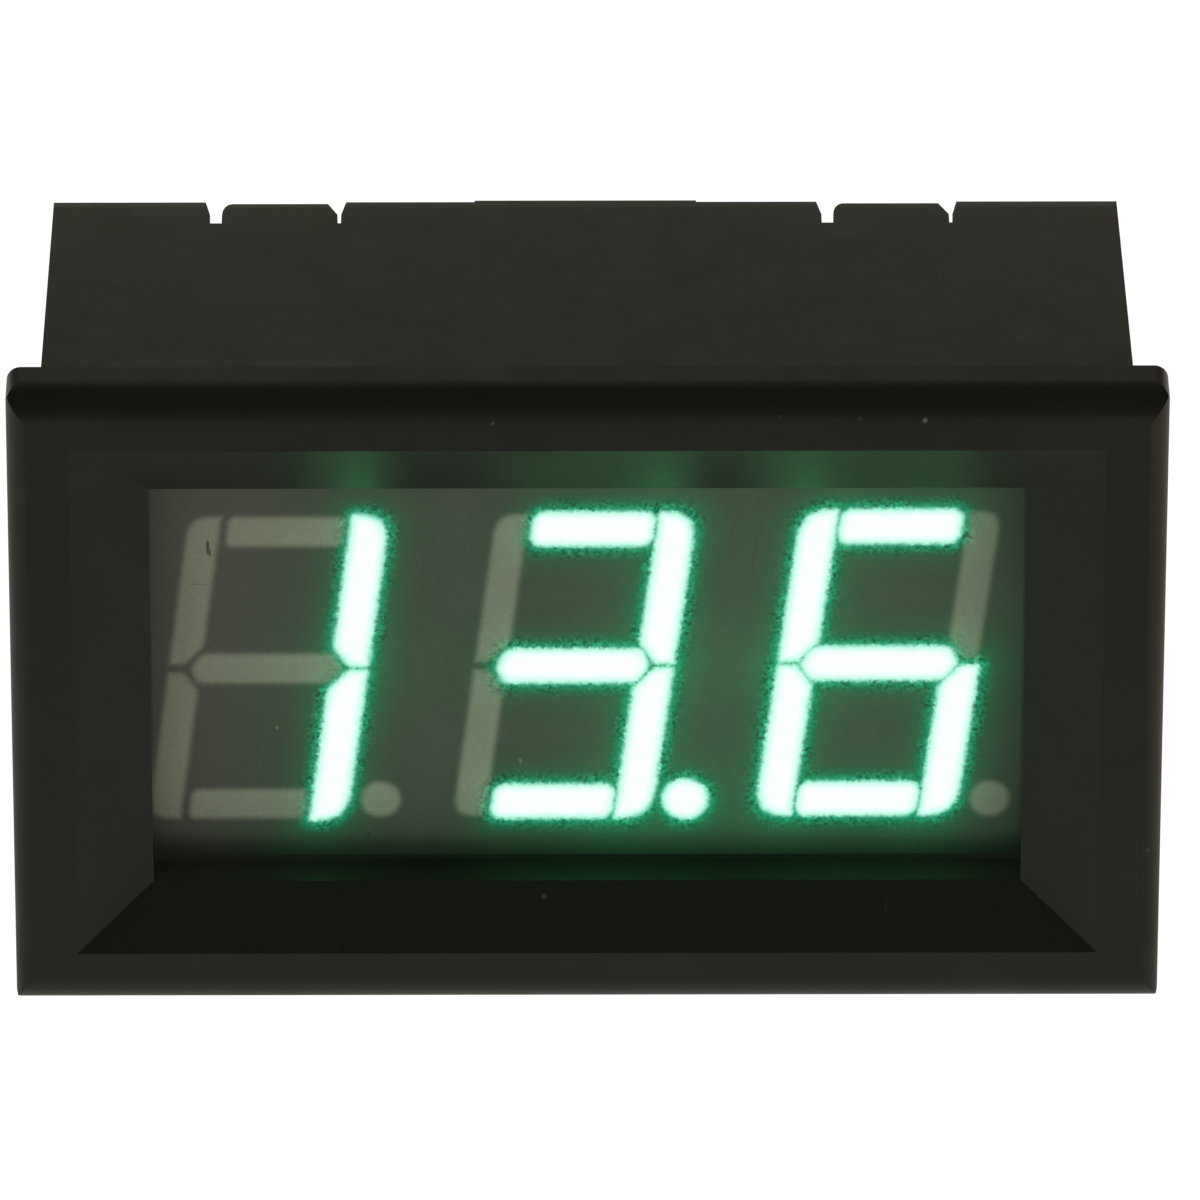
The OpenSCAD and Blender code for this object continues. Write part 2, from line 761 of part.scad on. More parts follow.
// A moulded body of a chip, with a chamfer all round its upper half
module moulded_body(w, h, t, lift) {
    lean_in = t / 8;
    tapered([[lift, w / 2, h / 2],
             [lift + t / 2, w / 2, h / 2],
             [lift + t, w / 2 - lean_in, h / 2 - lean_in]]);
}

// Moves its children to each lead of the controller
module at_leads() {
    for (i = [0:side_leads - 1]) {
        x = (i - (side_leads - 1) / 2) * lead_pitch;
        on_board(chip_x + x, 0) top_and_bottom() children();
    }
}

module controller_body() {
    top = chip_lift + chip_h;
    color("#1b1b1c") on_board(chip_x, 0) difference() {
        moulded_body(chip_l, chip_w, chip_h, chip_lift);
        // Dimple beside the first lead
        translate([dimple_edge - chip_l / 2, 0, dimple_edge - chip_w / 2])
            bar(dimple_d, top - dimple_depth, top + past);
    }
}

module controller_leads() {
    z = chip_w / 2;
    high = chip_lift + chip_h / 2;
    bend = lead_l * 0.4;
    foot = lead_l * 0.55;
    color("#c3c5c8") at_leads() along_x(lead_w)
        polygon([[high, z],
                 [high, z + bend],
                 [lead_t, z + foot],
                 [lead_t, z + lead_l],
                 [0, z + lead_l],
                 [0, z + foot - lead_t / 2],
                 [high - lead_t, z + bend - lead_t / 2],
                 [high - lead_t, z]]);
}

module regulator_body() {
    color("#1d1d1e") on_board(regulator_x, 0)
        moulded_body(regulator_w, regulator_h, regulator_t, 0);
}

// Three flat leads on one side of the regulator and its cooling tab on the other
module regulator_leads() {
    middle = regulator_h / 2 + regulator_lead_l / 2;
    color("#c3c5c8") on_board(regulator_x, 0) {
        for (i = [-1:1]) translate([i * regulator_pitch, 0, -middle])
            block(regulator_lead_w, 0, regulator_lead_t, regulator_lead_l);
        translate([0, 0, middle])
            block(regulator_tab_w, 0, regulator_lead_t, regulator_lead_l);
    }
}

module diode_body() {
    color("#1d1d1e") on_board(diode_x, diode_z) moulded_body(diode_l, diode_w, diode_t, 0);
}

module diode_leads() {
    color("#c3c5c8") on_board(diode_x, diode_z) left_and_right()
        translate([diode_l / 2 + diode_lead_l / 2, 0, 0])
            block(diode_lead_l, 0, diode_lead_t, diode_lead_w);
}

// The two metal ends of a chip part, each of a length end
module chip_ends(l, w, t, end) {
    left_and_right() translate([l / 2 - end / 2, 0, 0]) block(end, 0, t, w);
}

module at_resistors() {
    for (place = resistor_places) on_board(place[0], place[1]) children();
}

module at_capacitors() {
    for (place = capacitor_places) on_board(place[0], place[1]) children();
}

module chip_resistors() {
    color("#202021") at_resistors()
        block(resistor_l - 2 * resistor_end, 0, resistor_t, resistor_w);
}

module chip_capacitors() {
    color("#b59a74") at_capacitors()
        block(capacitor_l - 2 * capacitor_end, 0, capacitor_t, capacitor_w);
}

module chip_terminals() {
    color("#c6c8ca") {
        at_resistors() chip_ends(resistor_l, resistor_w, resistor_t, resistor_end);
        at_capacitors() chip_ends(capacitor_l, capacitor_w, capacitor_t, capacitor_end);
    }
}

// ---- trimmer ----

disc_y = trimmer_t + rotor_gap;
tab_r = trimmer_w / 2 - rotor_gap;
stop_r = rotor_d / 2 + rotor_gap;

// Half the angle of the stop, which leaves the tab its turn and a degree to spare
stop_half = 179 - rotor_turn - asin(slot_w / 2 / stop_r);

module trimmer_stop() {
    reach = 8 * trimmer_w;
    intersection() {
        difference() {
            bar(trimmer_w, trimmer_t - past / 4, disc_y + rotor_t);
            bar(2 * stop_r, 0, disc_y + rotor_t + past);
        }
        along_y(0, disc_y + rotor_t + past)
            polygon([[0, 0], reach * [-sin(stop_half), cos(stop_half)],
                     reach * [sin(stop_half), cos(stop_half)]]);
    }
}

module trimmer_body() {
    color("#e4e0d4") on_board(trimmer_x, trimmer_z) {
        difference() {
            block(trimmer_w, 0, trimmer_t, trimmer_l);
            bar(hub_d + 2 * rotor_gap, -past, trimmer_t + past);
            bar(rivet_d + 2 * rotor_gap, -past, rivet_t + 2 * rotor_gap);
        }
        trimmer_stop();
    }
}

module trimmer_rotor() {
    top = disc_y + rotor_t;
    color("#c9b27a") on_board(trimmer_x, trimmer_z) difference() {
        union() {
            bar(rotor_d, disc_y, top);
            bar(hub_d, rotor_gap, top);
            bar(rivet_d, rotor_gap, rotor_gap + rivet_t);
            translate([0, 0, -tab_r / 2]) block(slot_w, disc_y, top, tab_r);
        }
        for (turn = [0, 90]) rotate([0, turn, 0])
            block(slot_w, top - rotor_t * 0.6, top + past, rotor_d * 0.72);
    }
}

// Three bent strips: one at the trimmer's top end and two at its bottom end
module trimmer_terminals() {
    z = trimmer_l / 2;
    color("#c3c5c8") on_board(trimmer_x, trimmer_z) {
        for (place = [[0, 0], [-strip_x, 1], [strip_x, 1]]) {
            translate([place[0], 0, 0]) mirror([0, 0, place[1]])
                along_x(strip_w) polygon([[0, z], [strip_h, z], [strip_h, z + strip_t],
                    [strip_t, z + strip_t], [strip_t, z + strip_l], [0, z + strip_l]]);
        }
    }
}

housing();
display_shell();
display_board();
display_potting();
display_pins();
led_dice();
for (digit = [0:2], segment = [0:7]) {
    segment_fill(digit, segment);
}
circuit_board();
pin_solder();
wire_pads();
controller_body();
controller_leads();
regulator_body();
regulator_leads();
diode_body();
diode_leads();
chip_resistors();
chip_capacitors();
chip_terminals();
trimmer_body();
trimmer_rotor();
trimmer_terminals();
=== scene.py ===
import json
import math
import bpy
import bmesh
from mathutils import Matrix, Vector


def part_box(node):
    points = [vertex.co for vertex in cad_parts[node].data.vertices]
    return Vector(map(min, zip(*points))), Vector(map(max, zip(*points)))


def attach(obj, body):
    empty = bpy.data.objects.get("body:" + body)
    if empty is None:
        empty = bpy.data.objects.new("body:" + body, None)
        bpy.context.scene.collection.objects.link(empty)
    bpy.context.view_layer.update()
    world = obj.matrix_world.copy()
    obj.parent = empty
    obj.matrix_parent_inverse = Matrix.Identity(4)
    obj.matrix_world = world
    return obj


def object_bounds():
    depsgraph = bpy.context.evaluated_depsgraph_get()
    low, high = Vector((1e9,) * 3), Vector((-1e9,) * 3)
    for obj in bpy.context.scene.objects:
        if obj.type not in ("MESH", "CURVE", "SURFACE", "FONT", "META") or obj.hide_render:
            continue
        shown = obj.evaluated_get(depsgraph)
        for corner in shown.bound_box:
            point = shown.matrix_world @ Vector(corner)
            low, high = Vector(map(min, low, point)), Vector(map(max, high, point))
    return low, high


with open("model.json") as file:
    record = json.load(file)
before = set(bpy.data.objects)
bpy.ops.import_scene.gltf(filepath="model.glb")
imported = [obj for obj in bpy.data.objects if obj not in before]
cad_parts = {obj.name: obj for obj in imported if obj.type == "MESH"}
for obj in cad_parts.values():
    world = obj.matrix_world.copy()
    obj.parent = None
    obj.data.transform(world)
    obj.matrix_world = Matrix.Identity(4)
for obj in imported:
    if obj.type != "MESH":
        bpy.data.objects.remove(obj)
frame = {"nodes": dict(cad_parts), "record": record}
nodes = frame["nodes"]
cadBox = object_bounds()
mm = 0.001                              # metres
print("stage: frame loaded,", len(nodes), "nodes")


view = {
    "sensor": 36.0,                     # mm
    "lens": 445.2,
    "place": (-3.1, -544.5, 296.0),     # mm
    "lookDown": 28.241,                 # degrees
    "lookRight": 0.382,
    "roll": 0.094,
    "clip": (0.02, 20.0),               # metres
}

studio = {
    "floorSize": 6.0,                   # metres, as all in this list
    "floorSeen": (1.06, 1.06, 1.05),    # the lit table as it looks
    "floorCast": (0.266, 0.285, 0.243),  # the light that it throws on the meter
    "floorNear": (0.44, 0.46, 0.395),   # the same, close in front of the meter
    "nearTurn": (-0.058, -0.012),       # where it changes, front to back
    "floorLeft": (0.60, 0.58, 0.50),    # the same, to the meter's left and right
    "floorRight": (0.66, 0.585, 0.45),
    "floorTurn": (0.024, 0.05),         # from the middle, where it changes
    "roomFront": (0.10, 0.11, 0.088),   # light from all round
    "roomBack": (0.120, 0.111, 0.087),
    "roomSide": (0.0, 0.75),            # where it turns to the back's, along the sky's Y
    "keyPlace": (-0.03, 0.46, 0.36),
    "keySize": 0.4,
    "keyPower": 0.10,
    "keyColor": (1.0, 0.965, 0.84),
    "fillPlace": (0.55, -0.30, 0.06),
    "fillSize": 0.22,
    "fillPower": 0.05,
    "fillColor": (1.0, 0.62, 0.34),
}


def makeCamera():
    data = bpy.data.cameras.new("camera")
    data.sensor_width = view["sensor"]
    data.lens = view["lens"]
    data.clip_start, data.clip_end = view["clip"]
    camera = bpy.data.objects.new("camera", data)
    camera.location = Vector(view["place"]) * mm
    turn = Matrix.Rotation(math.radians(-view["lookRight"]), 4, "Z")
    tilt = Matrix.Rotation(math.radians(90 - view["lookDown"]), 4, "X")
    roll = Matrix.Rotation(math.radians(view["roll"]), 4, "Z")
    camera.rotation_euler = (turn @ tilt @ roll).to_euler()
    bpy.context.scene.collection.objects.link(camera)
    bpy.context.scene.camera = camera


def feed(tree, socket, value):
    if isinstance(value, bpy.types.NodeSocket):
        tree.links.new(value, socket)
    else:
        socket.default_value = value


def newNode(tree, kind, *values, **settings):
    # Values are an input and what it gets, in pairs, and settings are the node's own
    node = tree.nodes.new(kind)
    for name, setting in settings.items():
        setattr(node, name, setting)
    for entry, value in values:
        feed(tree, node.inputs[entry], value)
    return node


def scalar(tree, operation, *parts):
    return newNode(tree, "ShaderNodeMath", *enumerate(parts), operation=operation).outputs[0]


def vector(tree, operation, *parts):
    node = newNode(tree, "ShaderNodeVectorMath", *enumerate(parts), operation=operation)
    return node.outputs["Value" if operation in ("LENGTH", "DOT_PRODUCT") else "Vector"]


def scaled(tree, value, share):
    node = newNode(tree, "ShaderNodeVectorMath", (0, value), ("Scale", share), operation="SCALE")
    return node.outputs["Vector"]


def coordinates(tree, kind="Object"):
    return tree.nodes.new("ShaderNodeTexCoord").outputs[kind]


def axes(tree, place):
    return newNode(tree, "ShaderNodeSeparateXYZ", (0, place)).outputs


def spread(tree, value, fromLow, fromHigh, toLow=0.0, toHigh=1.0, smooth=False):
    return newNode(tree, "ShaderNodeMapRange",
                   *enumerate((value, fromLow, fromHigh, toLow, toHigh)),
                   interpolation_type="SMOOTHSTEP" if smooth else "LINEAR").outputs[0]


def ramp(tree, value, stops):
    node = tree.nodes.new("ShaderNodeValToRGB")
    elements = node.color_ramp.elements
    while len(elements) > 1:
        elements.remove(elements[0])
    for index, (place, color) in enumerate(stops):
        element = elements[0] if index == 0 else elements.new(place)
        element.position = place
        element.color = (*color, 1)
    tree.links.new(value, node.inputs[0])
    return node.outputs[0]


def blendColor(tree, share, first, second, way="MIX"):
    colors = [part if isinstance(part, bpy.types.NodeSocket) else (*part, 1)
              for part in (first, second)]
    node = newNode(tree, "ShaderNodeMix", data_type="RGBA", blend_type=way)
    for socket, part in zip((node.inputs[0], node.inputs[6], node.inputs[7]), (share, *colors)):
        feed(tree, socket, part)
    return node.outputs[2]


def plainNoise(tree, place, size):
    return newNode(tree, "ShaderNodeTexNoise", ("Vector", place), ("Scale", 1 / size)).outputs


def makeStudio():
    low = cadBox[0][2]
    size = studio["floorSize"] / 2
    mesh = bpy.data.meshes.new("floor")
    mesh.from_pydata([(-size, -size, low), (size, -size, low), (size, size, low),
                      (-size, size, low)], [], [(0, 1, 2, 3)])
    floor = bpy.data.objects.new("floor", mesh)
    bpy.context.scene.collection.objects.link(floor)
    material = bpy.data.materials.new("paleFloor")
    material.use_nodes = True
    tree = material.node_tree
    tree.nodes.clear()
    seen = tree.nodes.new("ShaderNodeLightPath").outputs["Is Camera Ray"]
    ends = axes(tree, coordinates(tree))
    near, far = studio["floorTurn"]
    cast = blendColor(tree, spread(tree, ends["Y"], *studio["nearTurn"], smooth=True),
                      studio["floorCast"], studio["floorNear"])
    cast = blendColor(tree, spread(tree, ends["X"], near, far, smooth=True),
                      cast, studio["floorRight"])
    cast = blendColor(tree, spread(tree, ends["X"], -near, -far, smooth=True),
                      cast, studio["floorLeft"])
    shine = newNode(tree, "ShaderNodeEmission",
                    ("Color", blendColor(tree, seen, cast, studio["floorSeen"])))
    newNode(tree, "ShaderNodeOutputMaterial", ("Surface", shine.outputs[0]))
    mesh.materials.append(material)

    for name in ("key", "fill"):
        data = bpy.data.lights.new(name, "AREA")
        data.shape = "DISK"
        data.size = studio[name + "Size"]
        data.energy = studio[name + "Power"]
        data.color = studio[name + "Color"]
        lamp = bpy.data.objects.new(name, data)
        lamp.location = studio[name + "Place"]
        lamp.rotation_euler = (-lamp.location).to_track_quat("-Z", "Y").to_euler()
        bpy.context.scene.collection.objects.link(lamp)

    world = bpy.data.worlds.new("room")
    bpy.context.scene.world = world
    world.use_nodes = True
    tree = world.node_tree
    tree.nodes.clear()
    back = spread(tree, axes(tree, coordinates(tree, "Generated"))["Y"],
                  *studio["roomSide"], smooth=True)
    background = newNode(tree, "ShaderNodeBackground", (
        "Color", blendColor(tree, back, studio["roomFront"], studio["roomBack"])))
    newNode(tree, "ShaderNodeOutputWorld", ("Surface", background.outputs[0]))
    bpy.context.scene.view_settings.view_transform = "Standard"
    bpy.context.scene.view_settings.look = "None"


makeCamera()
makeStudio()
print("stage: camera and studio set")


digitShape = {                          # mm, the light wells' outline as the light fills it
    "width": 8.2, "height": 14.31, "lean": 7.4, "upright": 1.31, "level": 1.36,
    "endGap": 0.36, "middleGap": 0.42, "tipLength": 0.55, "tipGap": 0.38,
    "shoulder": 0.25,                   # softness where an upright meets the middle bar
    "aside": 0.03, "tilt": 0.0085, "sunk": 0.03,    # how the display sits in its window
    "pointAside": 0.05,
    "lit": {"left": "bc", "middle": "abcdg.", "right": "acdefg"},
}

noiseMost = (0.3, 0.7)                  # most of a noise lies between these values,
noiseHalf = (0.35, 0.65)                # and about half of it between these

litShape = {                            # mm, how far the light fills a well's corners
    "corner": 0.92, "softCorner": 0.8, "softTip": 1.0, "softLevel": 0.4,
    "blunt": {"left": 0.12, "middle": 0.22, "right": 0.04},
    "ragged": 0.035, "raggedSize": 0.3, "reach": 1.5,
}

darkShape = {                           # mm, the same of a dark well's filler
    "corner": 0.7, "softCorner": 0.5, "softTip": 0.7, "softLevel": 0.3,
    "blunt": {"left": 0.12, "middle": 0.12, "right": 0.12},
    "ragged": 0.015, "raggedSize": 0.2,
}


def middleOf(node):
    low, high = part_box(node)
    return (low + high) / 2


def segmentDistance(name, letters, soft):
    # Distance in mm to the edge of the nearest of these segments, less than 0 inside it,
    # and the sum of the light that reaches a place from all of them
    well = digitShape
    group = bpy.data.node_groups.new(name, "ShaderNodeTree")
    group.interface.new_socket(name="Distance", in_out="OUTPUT", socket_type="NodeSocketFloat")
    group.interface.new_socket(name="Halo", in_out="OUTPUT", socket_type="NodeSocketFloat")
    parts = axes(group, coordinates(group))
    x = scalar(group, "MULTIPLY", parts["X"], 1 / mm)
    z = scalar(group, "MULTIPLY", parts["Z"], 1 / mm)
    halfWidth, halfHeight = well["width"] / 2, well["height"] / 2
    inner = halfWidth - well["upright"]
    shoulder = well["level"] / 2 + well["tipGap"]
    slope = Vector((well["tipLength"], well["level"] / 2)).normalized()

    def pair(a, b):
        return newNode(group, "ShaderNodeCombineXYZ", (0, a), (1, b)).outputs[0]

    def boxDistance(place, middle, half):
        away = vector(group, "SUBTRACT", vector(group, "ABSOLUTE",
                      vector(group, "SUBTRACT", place, (*middle, 0))), (*half, 1))
        across, up = axes(group, away)[:2]
        inside = scalar(group, "MINIMUM", scalar(group, "MAXIMUM", across, up), 0.0)
        outside = vector(group, "LENGTH", vector(group, "MAXIMUM", away, (0, 0, 0)))
        return scalar(group, "ADD", inside, outside)

    def softBox(place, middle, half, radius):
        return scalar(group, "SUBTRACT", boxDistance(
            place, middle, tuple(side - radius for side in half)), radius)

    def uprightDistance(place):
        bar = boxDistance(place, (halfWidth - well["upright"] / 2,
                                  (well["middleGap"] / 2 + halfHeight) / 2),
                          (well["upright"] / 2, (halfHeight - well["middleGap"] / 2) / 2))
        normal = Vector((-slope.y, -slope.x))
        cut = scalar(group, "ADD", vector(group, "DOT_PRODUCT", place, (*normal, 0)),
                     -normal.dot(Vector((inner, shoulder))))
        reach = halfWidth + halfHeight - soft["corner"] * (2 - math.sqrt(2))
        slant = math.sqrt(0.5)
        corner = scalar(group, "ADD", vector(group, "DOT_PRODUCT", place, (slant, slant, 0)),
                        -reach * slant)
        return scalar(group, "SMOOTH_MAX", scalar(group, "SMOOTH_MAX", bar, cut, well["shoulder"]),
                      corner, soft["softCorner"])

    def middleDistance(place, blunt):
        folded = vector(group, "ABSOLUTE", place)
        tip = scalar(group, "ADD", vector(group, "DOT_PRODUCT", folded,
                     (slope.y, slope.x, 0)), -slope.y * (inner + well["tipLength"]))
        flat = vector(group, "DOT_PRODUCT", folded, (0, 1, 0))
        point = scalar(group, "SMOOTH_MAX", tip, scalar(group, "ADD", vector(
            group, "DOT_PRODUCT", folded, (1, 0, 0)), blunt - inner - well["tipLength"]),
            soft["softTip"])
        return scalar(group, "SMOOTH_MAX", point, scalar(group, "SUBTRACT", flat,
                      well["level"] / 2), soft["softLevel"])

    found = []
    for digit, picked in letters.items():
        centre = middleOf(digit + "_segment_g") / mm
        down = scalar(group, "SUBTRACT", z, centre.z + well["tilt"] * centre.x - well["sunk"])
        across = scalar(group, "SUBTRACT", scalar(group, "SUBTRACT", x, centre.x + well["aside"]),
                        scalar(group, "MULTIPLY", down, math.tan(math.radians(well["lean"]))))
        place = pair(across, down)
        for letter in picked:
            if letter in "bcef":
                sides = (1 if letter in "bc" else -1, 1 if letter in "bf" else -1, 1)
                found.append(uprightDistance(vector(group, "MULTIPLY", place, sides)))
            elif letter in "ad":
                height = (halfHeight - well["level"] / 2) * (1 if letter == "a" else -1)
                found.append(softBox(place, (0, height), (inner - well["endGap"], well["level"] / 2),
                                     soft["softLevel"]))
            elif letter == "g":
                found.append(middleDistance(place, soft["blunt"][digit]))
            else:
                spot = middleOf(digit + "_point") / mm + Vector((well["pointAside"], 0, -well["sunk"]))
                low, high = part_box(digit + "_point")
                found.append(scalar(group, "SUBTRACT", vector(group, "LENGTH", vector(
                    group, "SUBTRACT", pair(x, z), (spot.x, spot.z, 0))),
                    (high.x - low.x) / 2 / mm))
    halo = None
    if "reach" in soft:
        for distance in found:
            share = scalar(group, "EXPONENT", scalar(group, "MULTIPLY", scalar(
                group, "MAXIMUM", distance, 0.0), -1 / soft["reach"]))
            halo = scalar(group, "ADD", halo, share) if halo else share
    while len(found) > 1:
        found = [scalar(group, "MINIMUM", *found[i:i + 2]) if i + 1 < len(found) else found[i]
                 for i in range(0, len(found), 2)]
    rough = spread(group, plainNoise(group, pair(x, z), soft["raggedSize"])[0], *noiseMost,
                   -soft["ragged"], soft["ragged"])
    output = newNode(group, "NodeGroupOutput", (0, scalar(group, "ADD", found[0], rough)))
    if halo:
        group.links.new(halo, output.inputs[1])
    return group


darkSegments = {digit: "".join(letter for letter in "abcdefg." if letter not in lit)
                for digit, lit in digitShape["lit"].items()}
litDistance = segmentDistance("litDistance", digitShape["lit"], litShape)
darkDistance = segmentDistance("darkDistance", darkSegments, darkShape)


def distanceFrom(tree, group):
    return newNode(tree, "ShaderNodeGroup", node_tree=group).outputs


glow = {
    "core": (0.96, 10.0, 2.6),          # radiance at the heart of a lit segment
    "heart": (-0.15, -0.45),            # mm from the edge, where it takes over
    "near": [                           # mm from the edge, radiance
        (-0.5, (0.956, 0.982, 0.982)), (-0.33, (0.939, 0.982, 0.982)),
        (-0.23, (0.896, 0.982, 0.965)), (-0.15, (0.831, 0.982, 0.947)),
        (-0.10, (0.776, 0.98, 0.922)), (-0.05, (0.701, 0.977, 0.888)),
        (0.0, (0.624, 0.973, 0.847)), (0.05, (0.515, 0.937, 0.78)),
        (0.10, (0.371, 0.806, 0.638)), (0.15, (0.238, 0.635, 0.469)),
        (0.20, (0.117, 0.430, 0.289)), (0.24, (0.025, 0.260, 0.155)),
        (0.29, (0.004, 0.200, 0.104)), (0.34, (0.0, 0.165, 0.08)),
        (0.39, (0.0, 0.137, 0.064)), (0.44, (0.0, 0.113, 0.052)), (0.49, (0.0, 0.094, 0.041)),
        (0.57, (0.0, 0.061, 0.027)), (0.67, (0.0, 0.040, 0.018)), (0.82, (0.0, 0.020, 0.008)),
        (1.02, (0.0, 0.012, 0.004)), (1.27, (0.0, 0.0067, 0.002)), (1.6, (0.0, 0.0027, 0.0)),
        (1.8, (0.0, 0.0, 0.0))],
    "far": (0.0, 0.054, 0.0155),        # radiance for each lit segment, falling off slowly
    "farStart": (0.0, 0.3),             # mm from the edge
    "dimming": [(0.3, 0.30), (0.45, 0.34), (0.58, 0.42), (0.83, 0.58), (1.1, 0.66),
                (2.1, 0.74), (3.6, 0.84), (5.0, 0.90), (8.0, 1.0)],    # painted darkening of the print beside one
    "milkDimming": (0.3, 0.9, 0.6, 1.0),    # the same painted darkening of a dark segment: mm, then shares
    # painted shade towards the window's lower edge, a little lighter just above it: mm up the face,
    # and share
    "lower": [(-9.3, 0.66), (-9.06, 0.66), (-8.68, 0.78), (-8.4, 0.92), (-8.1, 1.04), (-6.9, 1.0)],
    "grain": (0.6, 0.06),               # speckle of the halo, by a lit segment and further off
    "grainSize": 0.14,
    "grainStart": (0.06, 0.2),          # mm from the edge
    "grainEnd": (0.45, 0.85),
    "patches": (0.4, 0.6, 0.35, 1.0),   # of more and less speckle: noise, then shares
    "patchSize": 1.3,
}


def along(tree, distance, stops):
    low, high = stops[0][0], stops[-1][0]
    return ramp(tree, spread(tree, distance, low, high),
                [((place - low) / (high - low), color) for place, color in stops])


def shareAlong(tree, distance, stops):
    return along(tree, distance, [(place, (share,) * 3) for place, share in stops])


def lowerShade(tree, place):
    # Painted shade: the display's face darkens towards the lower edge of its window, and is painted a
    # little lighter just above that
    return shareAlong(tree, axes(tree, place)["Z"], glow["lower"])


def glowColor(tree, place, distance, halo):
    reach = scalar(tree, "MULTIPLY", halo, spread(tree, distance, *glow["farStart"]))
    light = vector(tree, "ADD", along(tree, distance, glow["near"]),
                   scaled(tree, glow["far"], reach))
    return blendColor(tree, 1.0, light, lowerShade(tree, place), "MULTIPLY")


def newFinish(name):
    material = bpy.data.materials.new(name)
    material.use_nodes = True
    tree = material.node_tree
    place = scaled(tree, coordinates(tree), 1 / mm)     # patterns are laid out in mm
    return material, tree, place


def dress(tree, height, depth, surface):
    # Gives the shader its values, plain or from other nodes, and bumps of this depth in mm
    shader = tree.nodes["Principled BSDF"]
    for socket, value in surface.items():
        feed(tree, shader.inputs[socket], value)
    bump = newNode(tree, "ShaderNodeBump", ("Distance", depth * mm), ("Height", height))
    tree.links.new(bump.outputs[0], shader.inputs["Normal"])


patterns = {                            # seed, detail and roughness of each noise
    "clouds": (1.0, 3.0, 0.55), "grain": (2.0, 2.0, 0.6), "wear": (5.0, 4.0, 0.6),
    "olive": (21.0, 3.0, 0.6), "brown": (23.0, 3.0, 0.6),
    "printClouds": (3.0, 2.0, 0.5), "flecks": (4.0, 1.0, 0.5), "patches": (9.0, 2.0, 0.5),
    "milk": (7.0, 2.0, 0.5), "mask": (11.0, 3.0, 0.5),
    "folds": (13.0, 3.0, 0.6), "stains": (14.0, 3.0, 0.6),
    "pits": (17.0, 3.0, 0.6), "glaze": (18.0, 2.0, 0.5),
}


def noise(tree, place, pattern, size, stretch=None):
    seed, detail, roughness = patterns[pattern]
    if stretch:
        place = vector(tree, "MULTIPLY", place, stretch)
    return newNode(tree, "ShaderNodeTexNoise", ("Vector", place), ("W", seed),
                   ("Scale", 1 / size), ("Detail", detail), ("Roughness", roughness),
                   noise_dimensions="4D").outputs[0]


moulded = {                             # what all moulded plastics share
    "grainShare": 0.35,                 # of a darker grain
    "grainShade": 0.6,                  # its brightness against the dark color
    "wearSize": 0.5,                    # of worn patches against the clouds
    "wearShare": 0.7,                   # of them in the roughness, and the rest is grain
}


def mouldedSkin(tree, place, light, dark, cloud, grain, rough):
    # Cloudy plastic with a fine grain: its color, its roughness and the grain itself
    fine = noise(tree, place, "grain", grain)
    color = blendColor(tree, spread(tree, noise(tree, place, "clouds", cloud), *noiseHalf,
                                    smooth=True), dark, light)
    color = blendColor(tree, spread(tree, fine, *noiseHalf, 0.0, moulded["grainShare"]), color,
                       tuple(c * moulded["grainShade"] for c in dark))
    wear = noise(tree, place, "wear", cloud * moulded["wearSize"])
    mixed = scalar(tree, "MULTIPLY_ADD", wear, moulded["wearShare"],
                   scalar(tree, "MULTIPLY", fine, 1 - moulded["wearShare"]))
    return color, spread(tree, mixed, *noiseMost, *rough), fine


def mouldedPlastic(name, light, dark, cloud, grain, depth, rough, specular):
    material, tree, place = newFinish(name)
    color, roughness, fine = mouldedSkin(tree, place, light, dark, cloud, grain, rough)
    dress(tree, fine, depth, {"Base Color": color, "Roughness": roughness,
                              "Specular IOR Level": specular})
    return material


housingMarks = [                        # middle, reach, share, color: dust, nicks and scratches
    ((13.89, -2.6, 13.29), (0.12, 0.3, 0.13), 0.75, (0.30, 0.29, 0.26)),
    ((-3.91, -2.6, 13.19), (0.10, 0.3, 0.10), 0.45, (0.20, 0.20, 0.18)),
    ((11.21, -2.6, 13.38), (0.07, 0.3, 0.14), 0.35, (0.14, 0.14, 0.12)),
    ((7.91, -2.6, 13.47), (0.16, 0.3, 0.05), 0.35, (0.12, 0.12, 0.10)),
    ((-1.81, -1.33, -9.88), (0.12, 0.4, 0.12), 0.8, (0.16, 0.16, 0.14)),
    ((12.05, -1.51, -10.17), (0.05, 0.8, 0.62), 0.6, (0.006, 0.007, 0.006)),
    ((12.55, -1.51, -10.17), (0.04, 0.8, 0.5), 0.5, (0.075, 0.077, 0.065)),
    ((-10.29, -2.6, -11.63), (0.10, 0.4, 0.16), 0.7, (0.006, 0.006, 0.005)),
    ((-10.02, -2.6, -11.52), (0.07, 0.4, 0.12), 0.5, (0.006, 0.006, 0.005)),
    ((6.05, -2.6, -13.36), (0.35, 0.4, 0.09), 0.6, (0.008, 0.008, 0.007)),
    ((18.49, -2.6, -13.19), (0.42, 0.4, 0.12), 0.55, (0.008, 0.008, 0.007)),
    ((23.46, -2.6, -7.03), (0.10, 0.4, 0.11), 0.6, (0.13, 0.12, 0.10)),
    ((23.95, -2.2, 0.78), (0.35, 0.6, 0.16), 0.6, (0.005, 0.005, 0.005)),
    ((23.95, -2.2, -0.88), (0.32, 0.6, 0.13), 0.6, (0.005, 0.005, 0.005)),
    ((-19.1, -1.7, 2.1), (0.08, 0.4, 0.10), 0.45, (0.10, 0.10, 0.09)),
    ((9.6, 12.2, 13.0), (0.5, 0.8, 0.4), 0.25, (0.05, 0.048, 0.04)),
]

